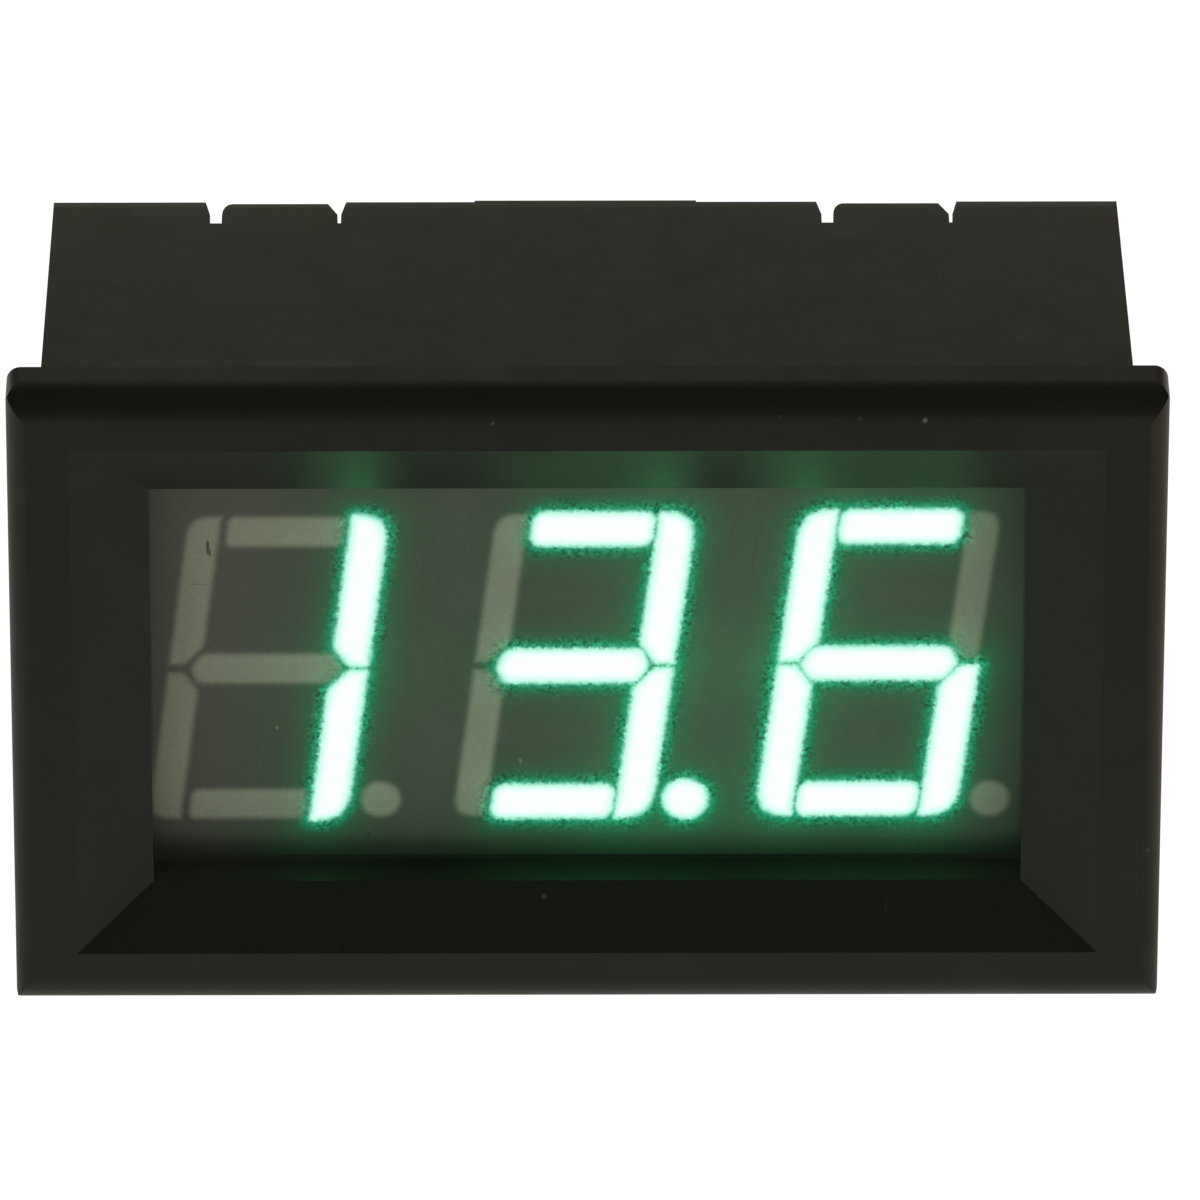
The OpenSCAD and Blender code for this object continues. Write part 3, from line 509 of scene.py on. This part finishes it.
displayMarks = [
    ((-15.81, 1.28, 5.36), (0.08, 1.0, 0.42), 0.75, (0.03, 0.032, 0.028)),
    ((-15.72, 1.28, 5.10), (0.05, 1.0, 0.2), 0.7, (0.02, 0.022, 0.018)),
    ((-16.1, 1.28, 3.62), (0.55, 1.0, 0.05), 0.22, (0.2, 0.2, 0.18)),
    ((-13.0, 1.28, -3.2), (0.09, 1.0, 0.11), 0.55, (0.6, 0.6, 0.52)),
    ((-2.8, 1.28, -4.8), (0.07, 1.0, 0.16), 0.5, (0.55, 0.58, 0.5)),
    ((-9.2, 1.28, -8.3), (0.09, 1.0, 0.12), 0.5, (0.05, 0.055, 0.045)),
]

markEdge = {
    "wander": 0.12,                     # mm, how far the edge strays, and the size of its bends
    "fade": (0.5, 1.1),                 # share of the reach where the mark ends
}


def marked(tree, place, color, marks):
    # Small soft spots of another color at their own places in mm
    stray = vector(tree, "SUBTRACT", plainNoise(tree, place, markEdge["wander"])["Color"],
                   (0.5, 0.5, 0.5))
    place = vector(tree, "ADD", place, scaled(tree, stray, markEdge["wander"]))
    for middle, reach, share, tint in marks:
        away = vector(tree, "LENGTH", vector(tree, "DIVIDE", vector(
            tree, "SUBTRACT", place, middle), reach))
        color = blendColor(tree, spread(tree, away, *markEdge["fade"], share, 0.0, smooth=True),
                           color, tint)
    return color


housingLook = {                         # places and sizes in mm
    "light": (0.022, 0.0215, 0.0175),
    "dark": (0.017, 0.017, 0.0135),
    "cloud": 4.0,
    "grain": 0.07,
    "depth": 0.006,
    "rough": (0.32, 0.44),
    "mottling": {"olive": (4.5, (1.15, 1.2, 0.5)), "brown": (6.0, (1.5, 0.95, 0.8))},
    "mottleEdge": (0.5, 0.62),
    "mottleStart": (1.0, 5.0),          # along the sleeve
    "dustAndRimHighlight": [(-3.0, 0.0), (2.0, 0.0), (9.0, 0.07), (13.0, 0.14), (16.5, 0.23), (17.8, 0.31),
             (18.15, 1.0), (18.6, 1.0)],    # along the sleeve, and share: dust paling towards the back, then a painted highlight on the rear rim
    "dustAndHighlightTop": (12.4, 12.95),           # it lies on the sleeve's top
    "dustAndHighlightAside": (4.0, 20.0, 0.75, 1.15),    # and grows towards both sides
    "middle": 2.0,                      # of the dust with its painted rim highlight, and of the display's light, along X
    "dustAndHighlightColor": (0.21, 0.20, 0.162),
    "flangeShine": (14.45, 14.5, 0.45, 0.34),    # the flange's top shines less
    "sill": -9.2,                       # the window's floor lies below it
    "sillLight": ((0.0, 0.0, 0.0), (0.0027, 0.0072, 0.004)),    # painted light beside lit digits: out, in
    "sillGrey": ((0.0032, 0.0032, 0.0026), (0.0068, 0.0078, 0.006)),    # and beside dark ones
    "sillCorner": (0.6, 1.28),          # from out to in
    "sillAside": (8.0, 17.0, 0.1, 1.0),    # from lit to dark ones
    "throat": 0.1,                      # roughness of the polished window walls
    "throatBox": (18.25, 9.35),         # half its width and height
    "throatDepth": (-1.0, -0.9),
}


def housingPlastic(name):
    look = housingLook
    material, tree, place = newFinish(name)
    color, rough, fine = mouldedSkin(tree, place, look["light"], look["dark"], look["cloud"],
                                     look["grain"], look["rough"])
    x, y, z = axes(tree, place)
    aside = scalar(tree, "ABSOLUTE", scalar(tree, "SUBTRACT", x, look["middle"]))
    sleeve = spread(tree, y, *look["mottleStart"])
    for pattern, (size, tint) in look["mottling"].items():
        patch = spread(tree, noise(tree, place, pattern, size), *look["mottleEdge"], smooth=True)
        tinted = blendColor(tree, 1.0, color, tint, "MULTIPLY")
        color = blendColor(tree, scalar(tree, "MULTIPLY", patch, sleeve), color, tinted)
    # Dust paling the sleeve's top towards the back, with a painted highlight along its rear rim
    dustAndRimHighlight = scalar(tree, "MULTIPLY", shareAlong(tree, y, look["dustAndRimHighlight"]),
                  spread(tree, aside, *look["dustAndHighlightAside"], smooth=True))
    top = spread(tree, z, *look["dustAndHighlightTop"], smooth=True)
    color = blendColor(tree, scalar(tree, "MULTIPLY", dustAndRimHighlight, top), color, look["dustAndHighlightColor"])
    inside = [scalar(tree, "LESS_THAN", scalar(tree, "ABSOLUTE", side), half)
              for side, half in zip((x, z), look["throatBox"])]
    throat = scalar(tree, "MULTIPLY", scalar(tree, "MULTIPLY", *inside),
                    spread(tree, y, *look["throatDepth"]))
    # Painted light: the window's floor glows a little, as if lit by the display's lower edge
    corner = spread(tree, y, *look["sillCorner"], smooth=True)
    sillGlow = blendColor(tree, spread(tree, aside, *look["sillAside"]),
                       blendColor(tree, corner, *look["sillLight"]),
                       blendColor(tree, corner, *look["sillGrey"]))
    dress(tree, fine, look["depth"], {
        "Base Color": marked(tree, place, color, housingMarks),
        "Roughness": spread(tree, throat, 0.0, 1.0, rough, look["throat"]),
        "Specular IOR Level": spread(tree, z, *look["flangeShine"]),
        "Emission Color": sillGlow,
        "Emission Strength": scalar(tree, "MULTIPLY", throat,
                                    scalar(tree, "LESS_THAN", z, look["sill"]))})
    return material


displayLook = {
    "print": (0.244, 0.251, 0.234),
    "milk": (0.600, 0.636, 0.548),
    "milkLow": (-6.0, -2.0, 1.07, 1.0),    # mm, and how much paler towards the bottom: painted light
    "edge": [(-0.22, 1.0), (-0.14, 0.93), (-0.07, 0.77), (0.0, 0.5), (0.07, 0.23), (0.14, 0.07),
             (0.22, 0.0)],              # share of the filler's paleness across its soft edge
    "clouds": 5.0,                      # mm
    "cloudShades": ((0.94, 0.94, 0.95), (1.05, 1.05, 1.04)),
    "uneven": 0.12, "specular": 0.15, "depth": 0.003,
}


def displayPrint(name, rough):
    # Grey print and milky filler, tinted by the lit segments' halo
    look = displayLook
    material, tree, place = newFinish(name)
    lit, halo = distanceFrom(tree, litDistance)
    flecks = noise(tree, place, "flecks", glow["grainSize"])
    # Painted darkening beside a lit segment, on the print and on the filler, goes with its glow
    printed = blendColor(tree, 1.0, look["print"], shareAlong(tree, lit, glow["dimming"]),
                         "MULTIPLY")
    # The filler is also painted paler towards the bottom, as painted light
    milky = scaled(tree, look["milk"], scalar(
        tree, "MULTIPLY", spread(tree, lit, *glow["milkDimming"]),
        spread(tree, axes(tree, place)["Z"], *look["milkLow"])))
    paleness = shareAlong(tree, distanceFrom(tree, darkDistance)[0], look["edge"])
    base = blendColor(tree, paleness, printed, milky)
    clouds = ramp(tree, noise(tree, place, "printClouds", look["clouds"]),
                  list(zip(noiseMost, look["cloudShades"])))
    for shade in (clouds, lowerShade(tree, place)):
        base = blendColor(tree, 1.0, base, shade, "MULTIPLY")
    patches = spread(tree, noise(tree, place, "patches", glow["patchSize"]), *glow["patches"],
                     smooth=True)
    strength = scalar(tree, "MULTIPLY", patches,
                      spread(tree, lit, *glow["grainEnd"], *glow["grain"]))
    speckle = scalar(tree, "MULTIPLY_ADD", strength,
                     spread(tree, flecks, *noiseMost, -1.0, 1.0), 1.0)
    shine = glowColor(tree, place, lit, halo)
    dress(tree, flecks, look["depth"], {
        "Base Color": marked(tree, place, scaled(tree, base, speckle), displayMarks),
        "Roughness": spread(tree, flecks, *noiseMost, rough, rough + look["uneven"]),
        "Specular IOR Level": look["specular"],
        "Emission Color": blendColor(tree, spread(tree, lit, *glow["grainStart"]), shine,
                                     scaled(tree, shine, speckle)),
        "Emission Strength": 1.0})
    return material


epoxyLook = {
    "milk": ((0.05, 0.09, 0.06), (0.07, 0.11, 0.08)),
    "clouds": 0.8,                      # mm
    "rough": 0.35, "specular": 0.2, "depth": 0.004,
}


def litEpoxy(name):
    look = epoxyLook
    material, tree, place = newFinish(name)
    distance, halo = distanceFrom(tree, litDistance)
    milk = noise(tree, place, "milk", look["clouds"])
    heart = spread(tree, distance, *glow["heart"], smooth=True)
    dress(tree, milk, look["depth"], {
        "Base Color": blendColor(tree, milk, *look["milk"]),
        "Roughness": look["rough"],
        "Specular IOR Level": look["specular"],
        "Emission Color": blendColor(tree, heart, glowColor(tree, place, distance, halo),
                                     glow["core"]),
        "Emission Strength": 1.0})
    return material


clothLook = {                           # glass cloth in the boards
    "scale": 0.62, "distortion": 0.6,
    "share": 0.22, "shade": 1.7,        # how far it shows, and how bright
    "clouds": 6.0,                      # mm
    "uneven": 0.12, "specular": 0.4, "depth": 0.006,
}


def laminate(name, color, under, gloss):
    # Solder mask or bare laminate with the glass cloth showing faintly
    look = clothLook
    material, tree, place = newFinish(name)
    weaves = [newNode(tree, "ShaderNodeTexWave", ("Vector", place), ("Scale", look["scale"]),
                      ("Distortion", look["distortion"]), bands_direction=way).outputs["Fac"]
              for way in "XZ"]
    cloth = scalar(tree, "MULTIPLY", *weaves)
    clouds = noise(tree, place, "mask", look["clouds"])
    base = blendColor(tree, spread(tree, clouds, *noiseMost), color, under)
    base = blendColor(tree, spread(tree, cloth, 0.0, 1.0, 0.0, look["share"]), base,
                      tuple(min(1, c * look["shade"]) for c in color))
    dress(tree, cloth, look["depth"], {
        "Base Color": base,
        "Roughness": spread(tree, clouds, *noiseMost, gloss, gloss + look["uneven"]),
        "Specular IOR Level": look["specular"]})
    return material


stainSize = 3                           # of a metal's stains against its folds


def platedMetal(name, light, dark, folds, depth, rough, stretch=None):
    material, tree, place = newFinish(name)
    creased = noise(tree, place, "folds", folds, stretch)
    stains = noise(tree, place, "stains", folds * stainSize)
    dress(tree, creased, depth, {
        "Base Color": blendColor(tree, spread(tree, stains, *noiseHalf, smooth=True), light, dark),
        "Metallic": 1.0,
        "Roughness": spread(tree, creased, *noiseMost, *rough)})
    return material


ceramicLook = {
    "glazeSize": 8,                     # of its clouds against its pits
    "pits": (0.4, 0.7, 0.0, 0.3),       # noise, then how far they show
    "pitShade": 0.55,
    "depth": 0.004,
}


def firedCeramic(name, light, dark, pits, rough):
    look = ceramicLook
    material, tree, place = newFinish(name)
    fine = noise(tree, place, "pits", pits)
    glaze = noise(tree, place, "glaze", pits * look["glazeSize"])
    base = blendColor(tree, spread(tree, glaze, *noiseMost), light, dark)
    dress(tree, fine, look["depth"], {
        "Base Color": blendColor(tree, spread(tree, fine, *look["pits"]), base,
                                 tuple(c * look["pitShade"] for c in dark)),
        "Roughness": spread(tree, fine, *noiseMost, *rough)})
    return material


finishes = {                            # sizes of clouds, grain, folds and pits in mm
    "black_abs": housingPlastic("blackAbs"),
    "display_face": displayPrint("displayPrint", rough=0.5),
    "segment_unlit": displayPrint("milkyEpoxy", rough=0.4),
    "segment_lit": litEpoxy("litEpoxy"),
    "led_board": laminate("bareLaminate", (0.52, 0.50, 0.36), (0.58, 0.56, 0.42), gloss=0.35),
    "potting": mouldedPlastic("potting", (0.40, 0.38, 0.27), (0.34, 0.32, 0.22), cloud=3.0,
                              grain=0.3, depth=0.01, rough=(0.15, 0.3), specular=0.5),
    "die": firedCeramic("dieCrystal", (0.6, 0.58, 0.25), (0.5, 0.48, 0.2), pits=0.05,
                        rough=(0.1, 0.2)),
    "tinned_steel": platedMetal("tinPlate", (0.62, 0.63, 0.65), (0.48, 0.48, 0.48), folds=0.12,
                                depth=0.003, rough=(0.28, 0.45), stretch=(1, 1, 3)),
    "board_green": laminate("solderMask", (0.008, 0.072, 0.026), (0.010, 0.090, 0.034),
                            gloss=0.22),
    "masked_copper": laminate("maskedCopper", (0.012, 0.125, 0.045), (0.014, 0.145, 0.055),
                              gloss=0.2),
    "solder": platedMetal("solder", (0.66, 0.67, 0.69), (0.50, 0.51, 0.52), folds=0.25,
                          depth=0.012, rough=(0.16, 0.34)),
    "chip_black": mouldedPlastic("mouldedEpoxy", (0.020, 0.020, 0.021), (0.016, 0.016, 0.017),
                                 cloud=1.5, grain=0.05, depth=0.006, rough=(0.42, 0.6),
                                 specular=0.35),
    "resistor_glaze": firedCeramic("resistorGlaze", (0.025, 0.025, 0.03), (0.02, 0.02, 0.022),
                                   pits=0.06, rough=(0.15, 0.3)),
    "capacitor_ceramic": firedCeramic("capacitorCeramic", (0.44, 0.32, 0.19),
                                      (0.36, 0.26, 0.15), pits=0.05, rough=(0.35, 0.5)),
    "trimmer_ceramic": firedCeramic("trimmerCeramic", (0.78, 0.75, 0.66), (0.70, 0.67, 0.58),
                                    pits=0.08, rough=(0.4, 0.55)),
    "trimmer_brass": platedMetal("trimmerBrass", (0.72, 0.60, 0.34), (0.55, 0.45, 0.24),
                                 folds=0.1, depth=0.003, rough=(0.25, 0.42)),
}

slotOf = {part["node"]: part["material_slot"] for part in frame["record"]["subparts"]}
for name, node in nodes.items():
    if len(node.material_slots) == 0:
        node.data.materials.append(None)
    for slot in node.material_slots:
        slot.material = finishes[slotOf[name]]
print("stage: finishes on", len(nodes), "nodes")


def islandBoxes(name):
    # Low and high corners in mm of each separate solid in a node
    parent = {}

    def root(point):
        while parent[point] != point:
            parent[point] = parent[parent[point]]
            point = parent[point]
        return point

    mesh = nodes[name].data
    points = [tuple(round(c / mm, 3) for c in vertex.co) for vertex in mesh.vertices]
    for point in points:
        parent.setdefault(point, point)
    for face in mesh.polygons:
        first = root(points[face.vertices[0]])
        for index in face.vertices[1:]:
            parent[root(points[index])] = first
    groups = {}
    for point in parent:
        groups.setdefault(root(point), []).append(point)
    return sorted((Vector(map(min, zip(*group))), Vector(map(max, zip(*group))))
                  for group in groups.values())


def startTree(name, **entries):
    tree = bpy.data.node_groups.new(name, "GeometryNodeTree")
    for way in ("INPUT", "OUTPUT"):
        tree.interface.new_socket(name="Geometry", in_out=way, socket_type="NodeSocketGeometry")
    for label, kind in entries.items():
        tree.interface.new_socket(name=label, in_out="INPUT", socket_type="NodeSocket" + kind)
    return tree, tree.nodes.new("NodeGroupInput"), tree.nodes.new("NodeGroupOutput")


def wire(tree, *links):
    # Each link is a node and its output, then a node and its input
    for source, output, target, entry in links:
        tree.links.new(source.outputs[output], target.inputs[entry])


def finishTree(tree, enter, leave, last):
    realize = tree.nodes.new("GeometryNodeRealizeInstances")
    paint = tree.nodes.new("GeometryNodeSetMaterial")
    wire(tree, (last, 0, realize, 0), (realize, 0, paint, "Geometry"),
         (enter, "Finish", paint, "Material"), (paint, 0, leave, 0))
    return tree


def growPiece(source, tree, values, name):
    # Runs the tree on the source object and keeps the result as a plain mesh
    modifier = source.modifiers.new(name, "NODES")
    modifier.node_group = tree
    for item in tree.interface.items_tree:
        if item.in_out == "INPUT" and item.name in values:
            modifier[item.identifier] = values[item.name]
    bpy.context.scene.collection.objects.link(source)
    ready = source.evaluated_get(bpy.context.evaluated_depsgraph_get())
    mesh = bpy.data.meshes.new_from_object(ready)
    bpy.data.objects.remove(source)
    piece = bpy.data.objects.new(name, mesh)
    bpy.context.scene.collection.objects.link(piece)
    work = bmesh.new()
    work.from_mesh(mesh)
    bmesh.ops.remove_doubles(work, verts=work.verts, dist=1e-7)
    bmesh.ops.recalc_face_normals(work, faces=work.faces)
    work.to_mesh(mesh)
    work.free()
    return piece


def settle(piece, smooth=True):
    for face in piece.data.polygons:
        face.use_smooth = smooth
    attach(piece, "meter")


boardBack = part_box("circuit_board")[1].y / mm

tracks = {                              # mm on the board's back, seen as X and Z
    "width": 0.3,
    "height": 0.07,                     # half of it is in the board
    "bend": 0.3,
    "bendSteps": 3,
    "leads": [-6.445, -5.175, -3.905, -2.635, -1.365, -0.095, 1.175, 2.445],
    "leadZ": 2.9,
    "pins": [-6.35, -3.81, -1.27, 1.27, 3.81, 6.35],
    "pinZ": 6.95,
    "firstRun": 4.0,                    # height of the run of the last pin
    "runStep": 0.45,
    "runTurn": 0.35,                    # where a run starts to turn to its pin
    "single": [                         # width against the common one, then the points
        (1, (-0.095, -2.9), (-0.095, -3.6), (0.3, -4.0), (4.7, -4.0), (5.1, -4.4), (5.5, -4.4)),
        (1, (6.95, -4.75), (6.95, -6.0), (6.4, -6.55), (6.35, -6.95)),
        (1, (2.445, -2.9), (2.445, -3.15), (2.75, -3.45), (5.6, -3.45), (6.1, -2.95), (6.1, -2.0)),
        (1, (1.175, -2.9), (1.175, -3.45)), (1, (1.175, 2.9), (1.175, 3.45)),
        (1, (2.445, 2.9), (2.445, 3.45)), (1, (7.6, -2.0), (7.6, -3.2)),
        (1.8, (9.1, -2.0), (9.1, -2.3), (9.4, -2.6), (11.9, -2.6)),
        (2, (15.3, -2.6), (16.1, -2.6), (16.5, -3.0), (16.5, -5.0), (15.9, -5.6), (12.0, -5.6),
         (11.5, -6.1), (11.5, -7.5)),
        (2, (14.5, -7.5), (14.5, -6.6)),
        (1, (17.5, -7.5), (17.5, 0.0), (16.9, 0.6), (15.7, 0.6), (15.4, 0.9), (15.4, 1.4)),
        (1, (13.4, 1.3), (13.4, 0.6), (12.9, 0.1), (10.8, 0.1)),
        (1, (14.4, 5.9), (14.4, 6.6), (13.8, 7.2), (9.5, 7.2), (8.9, 6.6), (8.9, 4.3),
         (8.5, 3.9)),
        (1, (-16.7, 3.4), (-15.9, 3.4), (-15.4, 3.9), (-14.9, 3.9)),
        (1, (-16.7, 0.0), (-16.0, 0.0), (-15.6, 0.4), (-15.6, 0.9), (-15.2, 1.3), (-14.9, 1.3)),
        (1, (-16.7, -3.4), (-15.9, -3.4), (-15.4, -3.9), (-14.9, -3.9)),
        (1, (-14.9, -1.3), (-15.9, -1.3)),
        (1, (-10.4, 1.3), (-9.4, 1.3)), (1, (-10.4, -1.3), (-9.4, -1.3)),
        (1, (-10.4, 3.9), (-9.2, 3.9), (-8.6, 4.5), (-8.6, 6.7), (-7.7, 7.6), (-7.1, 7.6)),
        (1, (-10.4, -3.9), (-9.2, -3.9), (-8.6, -4.5), (-8.6, -6.7), (-7.7, -7.6), (-7.1, -7.6)),
        (2, (-18.8, 3.4), (-19.4, 3.4), (-19.9, 2.9), (-19.9, -2.9), (-19.4, -3.4), (-18.8, -3.4)),
        (2, (-19.9, 0.0), (-18.8, 0.0)),
    ] + [(1, (-13.2, z), (-12.2, z)) for z in (-3.9, -1.3, 1.3, 3.9)],
    "vias": [(1.175, -3.45), (1.175, 3.45), (2.445, 3.45), (7.6, -3.2), (14.5, -6.6), (10.8, 0.1),
             (-15.9, -1.3), (-9.4, 1.3), (-9.4, -1.3), (-16.8, 7.2), (-12.4, -8.6), (10.4, 9.2),
             (-19.6, -8.8), (4.2, 1.6), (18.9, 8.3)],
    "viaHole": 0.15,
    "viaRim": 0.13,
    "viaHeight": 0.05,
    "viaSides": (20, 8),                # round the hole, and round the rim
}


def trackPaths():
    paths = list(tracks["single"])
    last = len(tracks["pins"]) - 1
    for side in (1, -1):
        for index, pin in enumerate(tracks["pins"] if side > 0 else tracks["pins"][:-1]):
            lead = tracks["leads"][index]
            run = tracks["firstRun"] + tracks["runStep"] * (last - index)
            turn = min(tracks["runTurn"], (pin - lead) / 2)
            paths.append((1,) + tuple((x, side * z) for x, z in (
                (lead, tracks["leadZ"]), (lead, run - turn), (lead + turn, run),
                (pin - turn, run), (pin, run + turn), (pin, tracks["pinZ"]))))
    return paths


def trackTree():
    tree, enter, leave = startTree("tracks", Width="Float", Height="Float", Bend="Float",
                                   Face="Float", Finish="Material")
    fillet = newNode(tree, "GeometryNodeFilletCurve", ("Count", tracks["bendSteps"]),
                     ("Limit Radius", True), mode="POLY")
    upright = newNode(tree, "GeometryNodeSetCurveNormal", mode="Z_UP")
    section = tree.nodes.new("GeometryNodeCurvePrimitiveQuadrilateral")
    sweep = newNode(tree, "GeometryNodeCurveToMesh", ("Fill Caps", True))
    place = tree.nodes.new("ShaderNodeCombineXYZ")
    move = newNode(tree, "GeometryNodeTransform", ("Rotation", (-math.pi / 2, 0, 0)))
    wire(tree, (enter, "Geometry", fillet, "Curve"), (enter, "Bend", fillet, "Radius"),
         (fillet, 0, upright, "Curve"), (upright, 0, sweep, "Curve"),
         (enter, "Width", section, "Width"), (enter, "Height", section, "Height"),
         (section, 0, sweep, "Profile Curve"), (enter, "Face", place, "Y"),
         (place, 0, move, "Translation"), (sweep, 0, move, "Geometry"))
    return finishTree(tree, enter, leave, move)


def makeTracks():
    curve = bpy.data.curves.new("trackLines", "CURVE")
    curve.dimensions = "3D"
    for width, *points in trackPaths():
        spline = curve.splines.new("POLY")
        spline.points.add(len(points) - 1)
        for spot, (x, z) in zip(spline.points, points):
            spot.co = (x * mm, -z * mm, 0, 1)
            spot.radius = width
    piece = growPiece(bpy.data.objects.new("trackLines", curve), trackTree(), {
        "Width": tracks["width"] * mm, "Height": tracks["height"] * mm,
        "Bend": tracks["bend"] * mm, "Face": boardBack * mm,
        "Finish": finishes["masked_copper"]}, "boardTracks")
    settle(piece, smooth=False)


def viaTree():
    tree, enter, leave = startTree("vias", Hole="Float", Rim="Float", Flatness="Float",
                                   Finish="Material")
    ring, section = (newNode(tree, "GeometryNodeCurvePrimitiveCircle", ("Resolution", sides))
                     for sides in tracks["viaSides"])
    sweep = tree.nodes.new("GeometryNodeCurveToMesh")
    squash = newNode(tree, "ShaderNodeCombineXYZ", ("X", 1.0), ("Y", 1.0))
    flatten = newNode(tree, "GeometryNodeTransform", ("Rotation", (math.pi / 2, 0, 0)))
    copy = tree.nodes.new("GeometryNodeInstanceOnPoints")
    wire(tree, (enter, "Hole", ring, "Radius"), (enter, "Rim", section, "Radius"),
         (ring, 0, sweep, "Curve"), (section, 0, sweep, "Profile Curve"),
         (enter, "Flatness", squash, "Z"), (squash, 0, flatten, "Scale"),
         (sweep, 0, flatten, "Geometry"), (enter, "Geometry", copy, "Points"),
         (flatten, 0, copy, "Instance"))
    return finishTree(tree, enter, leave, copy)


def pointCloud(name, points):
    mesh = bpy.data.meshes.new(name)
    mesh.from_pydata([Vector(point) * mm for point in points], [], [])
    return mesh


def makeVias():
    mesh = pointCloud("viaSpots", [(x, boardBack, z) for x, z in tracks["vias"]])
    radius = tracks["viaHole"] + tracks["viaRim"]
    piece = growPiece(bpy.data.objects.new("viaSpots", mesh), viaTree(), {
        "Hole": radius * mm, "Rim": tracks["viaRim"] * mm,
        "Flatness": tracks["viaHeight"] / tracks["viaRim"],
        "Finish": finishes["masked_copper"]}, "boardVias")
    settle(piece)


solderFeet = {
    "leads": {                          # mm: height up the lead, and length along the board
        "controller_leads": (0.16, 0.3), "regulator_leads": (0.3, 0.3),
        "diode_leads": (0.14, 0.3), "chip_terminals": (0.34, 0.32),
        "trimmer_terminals": (0.4, 0.32)},
    "bodies": ("controller_body", "regulator_body", "diode_body", "chip_resistors",
               "chip_capacitors", "trimmer_body"),
    "flare": 1.2,                       # of the solder over the lead's width
    "taper": 0.9,                       # of its sides towards the end
    "sag": 1.9,                         # how hollow it runs out
    "crown": 3,                         # how round it is across
    "tongue": 0.12,                     # how far its end's middle reaches past the sides
    "columns": 8,
    "rows": 5,
}


def solderFoot():
    # One concave foot of solder, 1 wide, 1 high and 1 long, which runs out along +Z
    shape = solderFeet
    columns, rows = shape["columns"], shape["rows"]
    points, faces = [], []
    for row in range(rows + 1):
        out = row / rows
        half = 0.5 * math.sqrt(1 - (shape["taper"] * out) ** 2)
        for column in range(columns + 1):
            side = 2 * column / columns - 1
            height = (1 - out) ** shape["sag"] * (1 - abs(side) ** shape["crown"])
            points.append((side * half, height, out * (1 - shape["tongue"] * side * side)))
    for row in range(rows):
        for column in range(columns):
            corner = row * (columns + 1) + column
            faces.append((corner, corner + columns + 1, corner + columns + 2, corner + 1))
    last = rows * (columns + 1)
    faces.append(list(range(0, last + 1, columns + 1))
                 + list(range(last + 1, last + columns + 1))
                 + [row * (columns + 1) + columns for row in range(rows - 1, -1, -1)])
    faces.append(list(range(columns, -1, -1)))
    mesh = bpy.data.meshes.new("solderFoot")
    mesh.from_pydata(points, [], faces)
    return bpy.data.objects.new("solderFoot", mesh)


def footTree():
    tree, enter, leave = startTree("solderFeet", Foot="Object", Finish="Material")
    shape = tree.nodes.new("GeometryNodeObjectInfo")
    copy = tree.nodes.new("GeometryNodeInstanceOnPoints")
    turn, size = (newNode(tree, "GeometryNodeInputNamedAttribute", ("Name", label),
                          data_type="FLOAT_VECTOR") for label in ("turn", "size"))
    euler = tree.nodes.new("FunctionNodeEulerToRotation")
    wire(tree, (enter, "Foot", shape, "Object"), (enter, "Geometry", copy, "Points"),
         (shape, "Geometry", copy, "Instance"), (turn, 0, euler, 0),
         (euler, 0, copy, "Rotation"), (size, 0, copy, "Scale"))
    return finishTree(tree, enter, leave, copy)


def makeSolderFeet():
    bodies = [box for name in solderFeet["bodies"] for box in islandBoxes(name)]
    places, turns, sizes = [], [], []
    for name, (height, length) in solderFeet["leads"].items():
        for low, high in islandBoxes(name):
            middle = (low + high) / 2
            body = min(bodies, key=lambda box: ((box[0] + box[1]) / 2 - middle).length
                       - (box[1] - box[0]).length / 2)
            away = middle - (body[0] + body[1]) / 2
            half = (body[1] - body[0]) / 2
            axis = 0 if abs(away.x) / half.x > abs(away.z) / half.z else 2
            side = 1 if away[axis] > 0 else -1
            spot = Vector((middle.x, boardBack, middle.z))
            spot[axis] = (high if side > 0 else low)[axis]
            width = (high - low)[2 - axis] * solderFeet["flare"]
            out = Vector((side, 0, 0)) if axis == 0 else Vector((0, 0, side))
            places.append(spot)
            turns.append((0, math.atan2(out.x, out.z), 0))
            sizes.append((width * mm, height * mm, length * mm))
    mesh = pointCloud("footSpots", places)
    for label, values in (("turn", turns), ("size", sizes)):
        layer = mesh.attributes.new(label, "FLOAT_VECTOR", "POINT")
        layer.data.foreach_set("vector", [c for value in values for c in value])
    foot = solderFoot()
    piece = growPiece(bpy.data.objects.new("footSpots", mesh), footTree(), {
        "Foot": foot, "Finish": finishes["solder"]}, "solderFeet")
    bpy.data.objects.remove(foot)
    settle(piece)
    return len(places)


makeTracks()
makeVias()
print("stage: tracks and", len(tracks["vias"]), "vias,", makeSolderFeet(), "feet of solder")
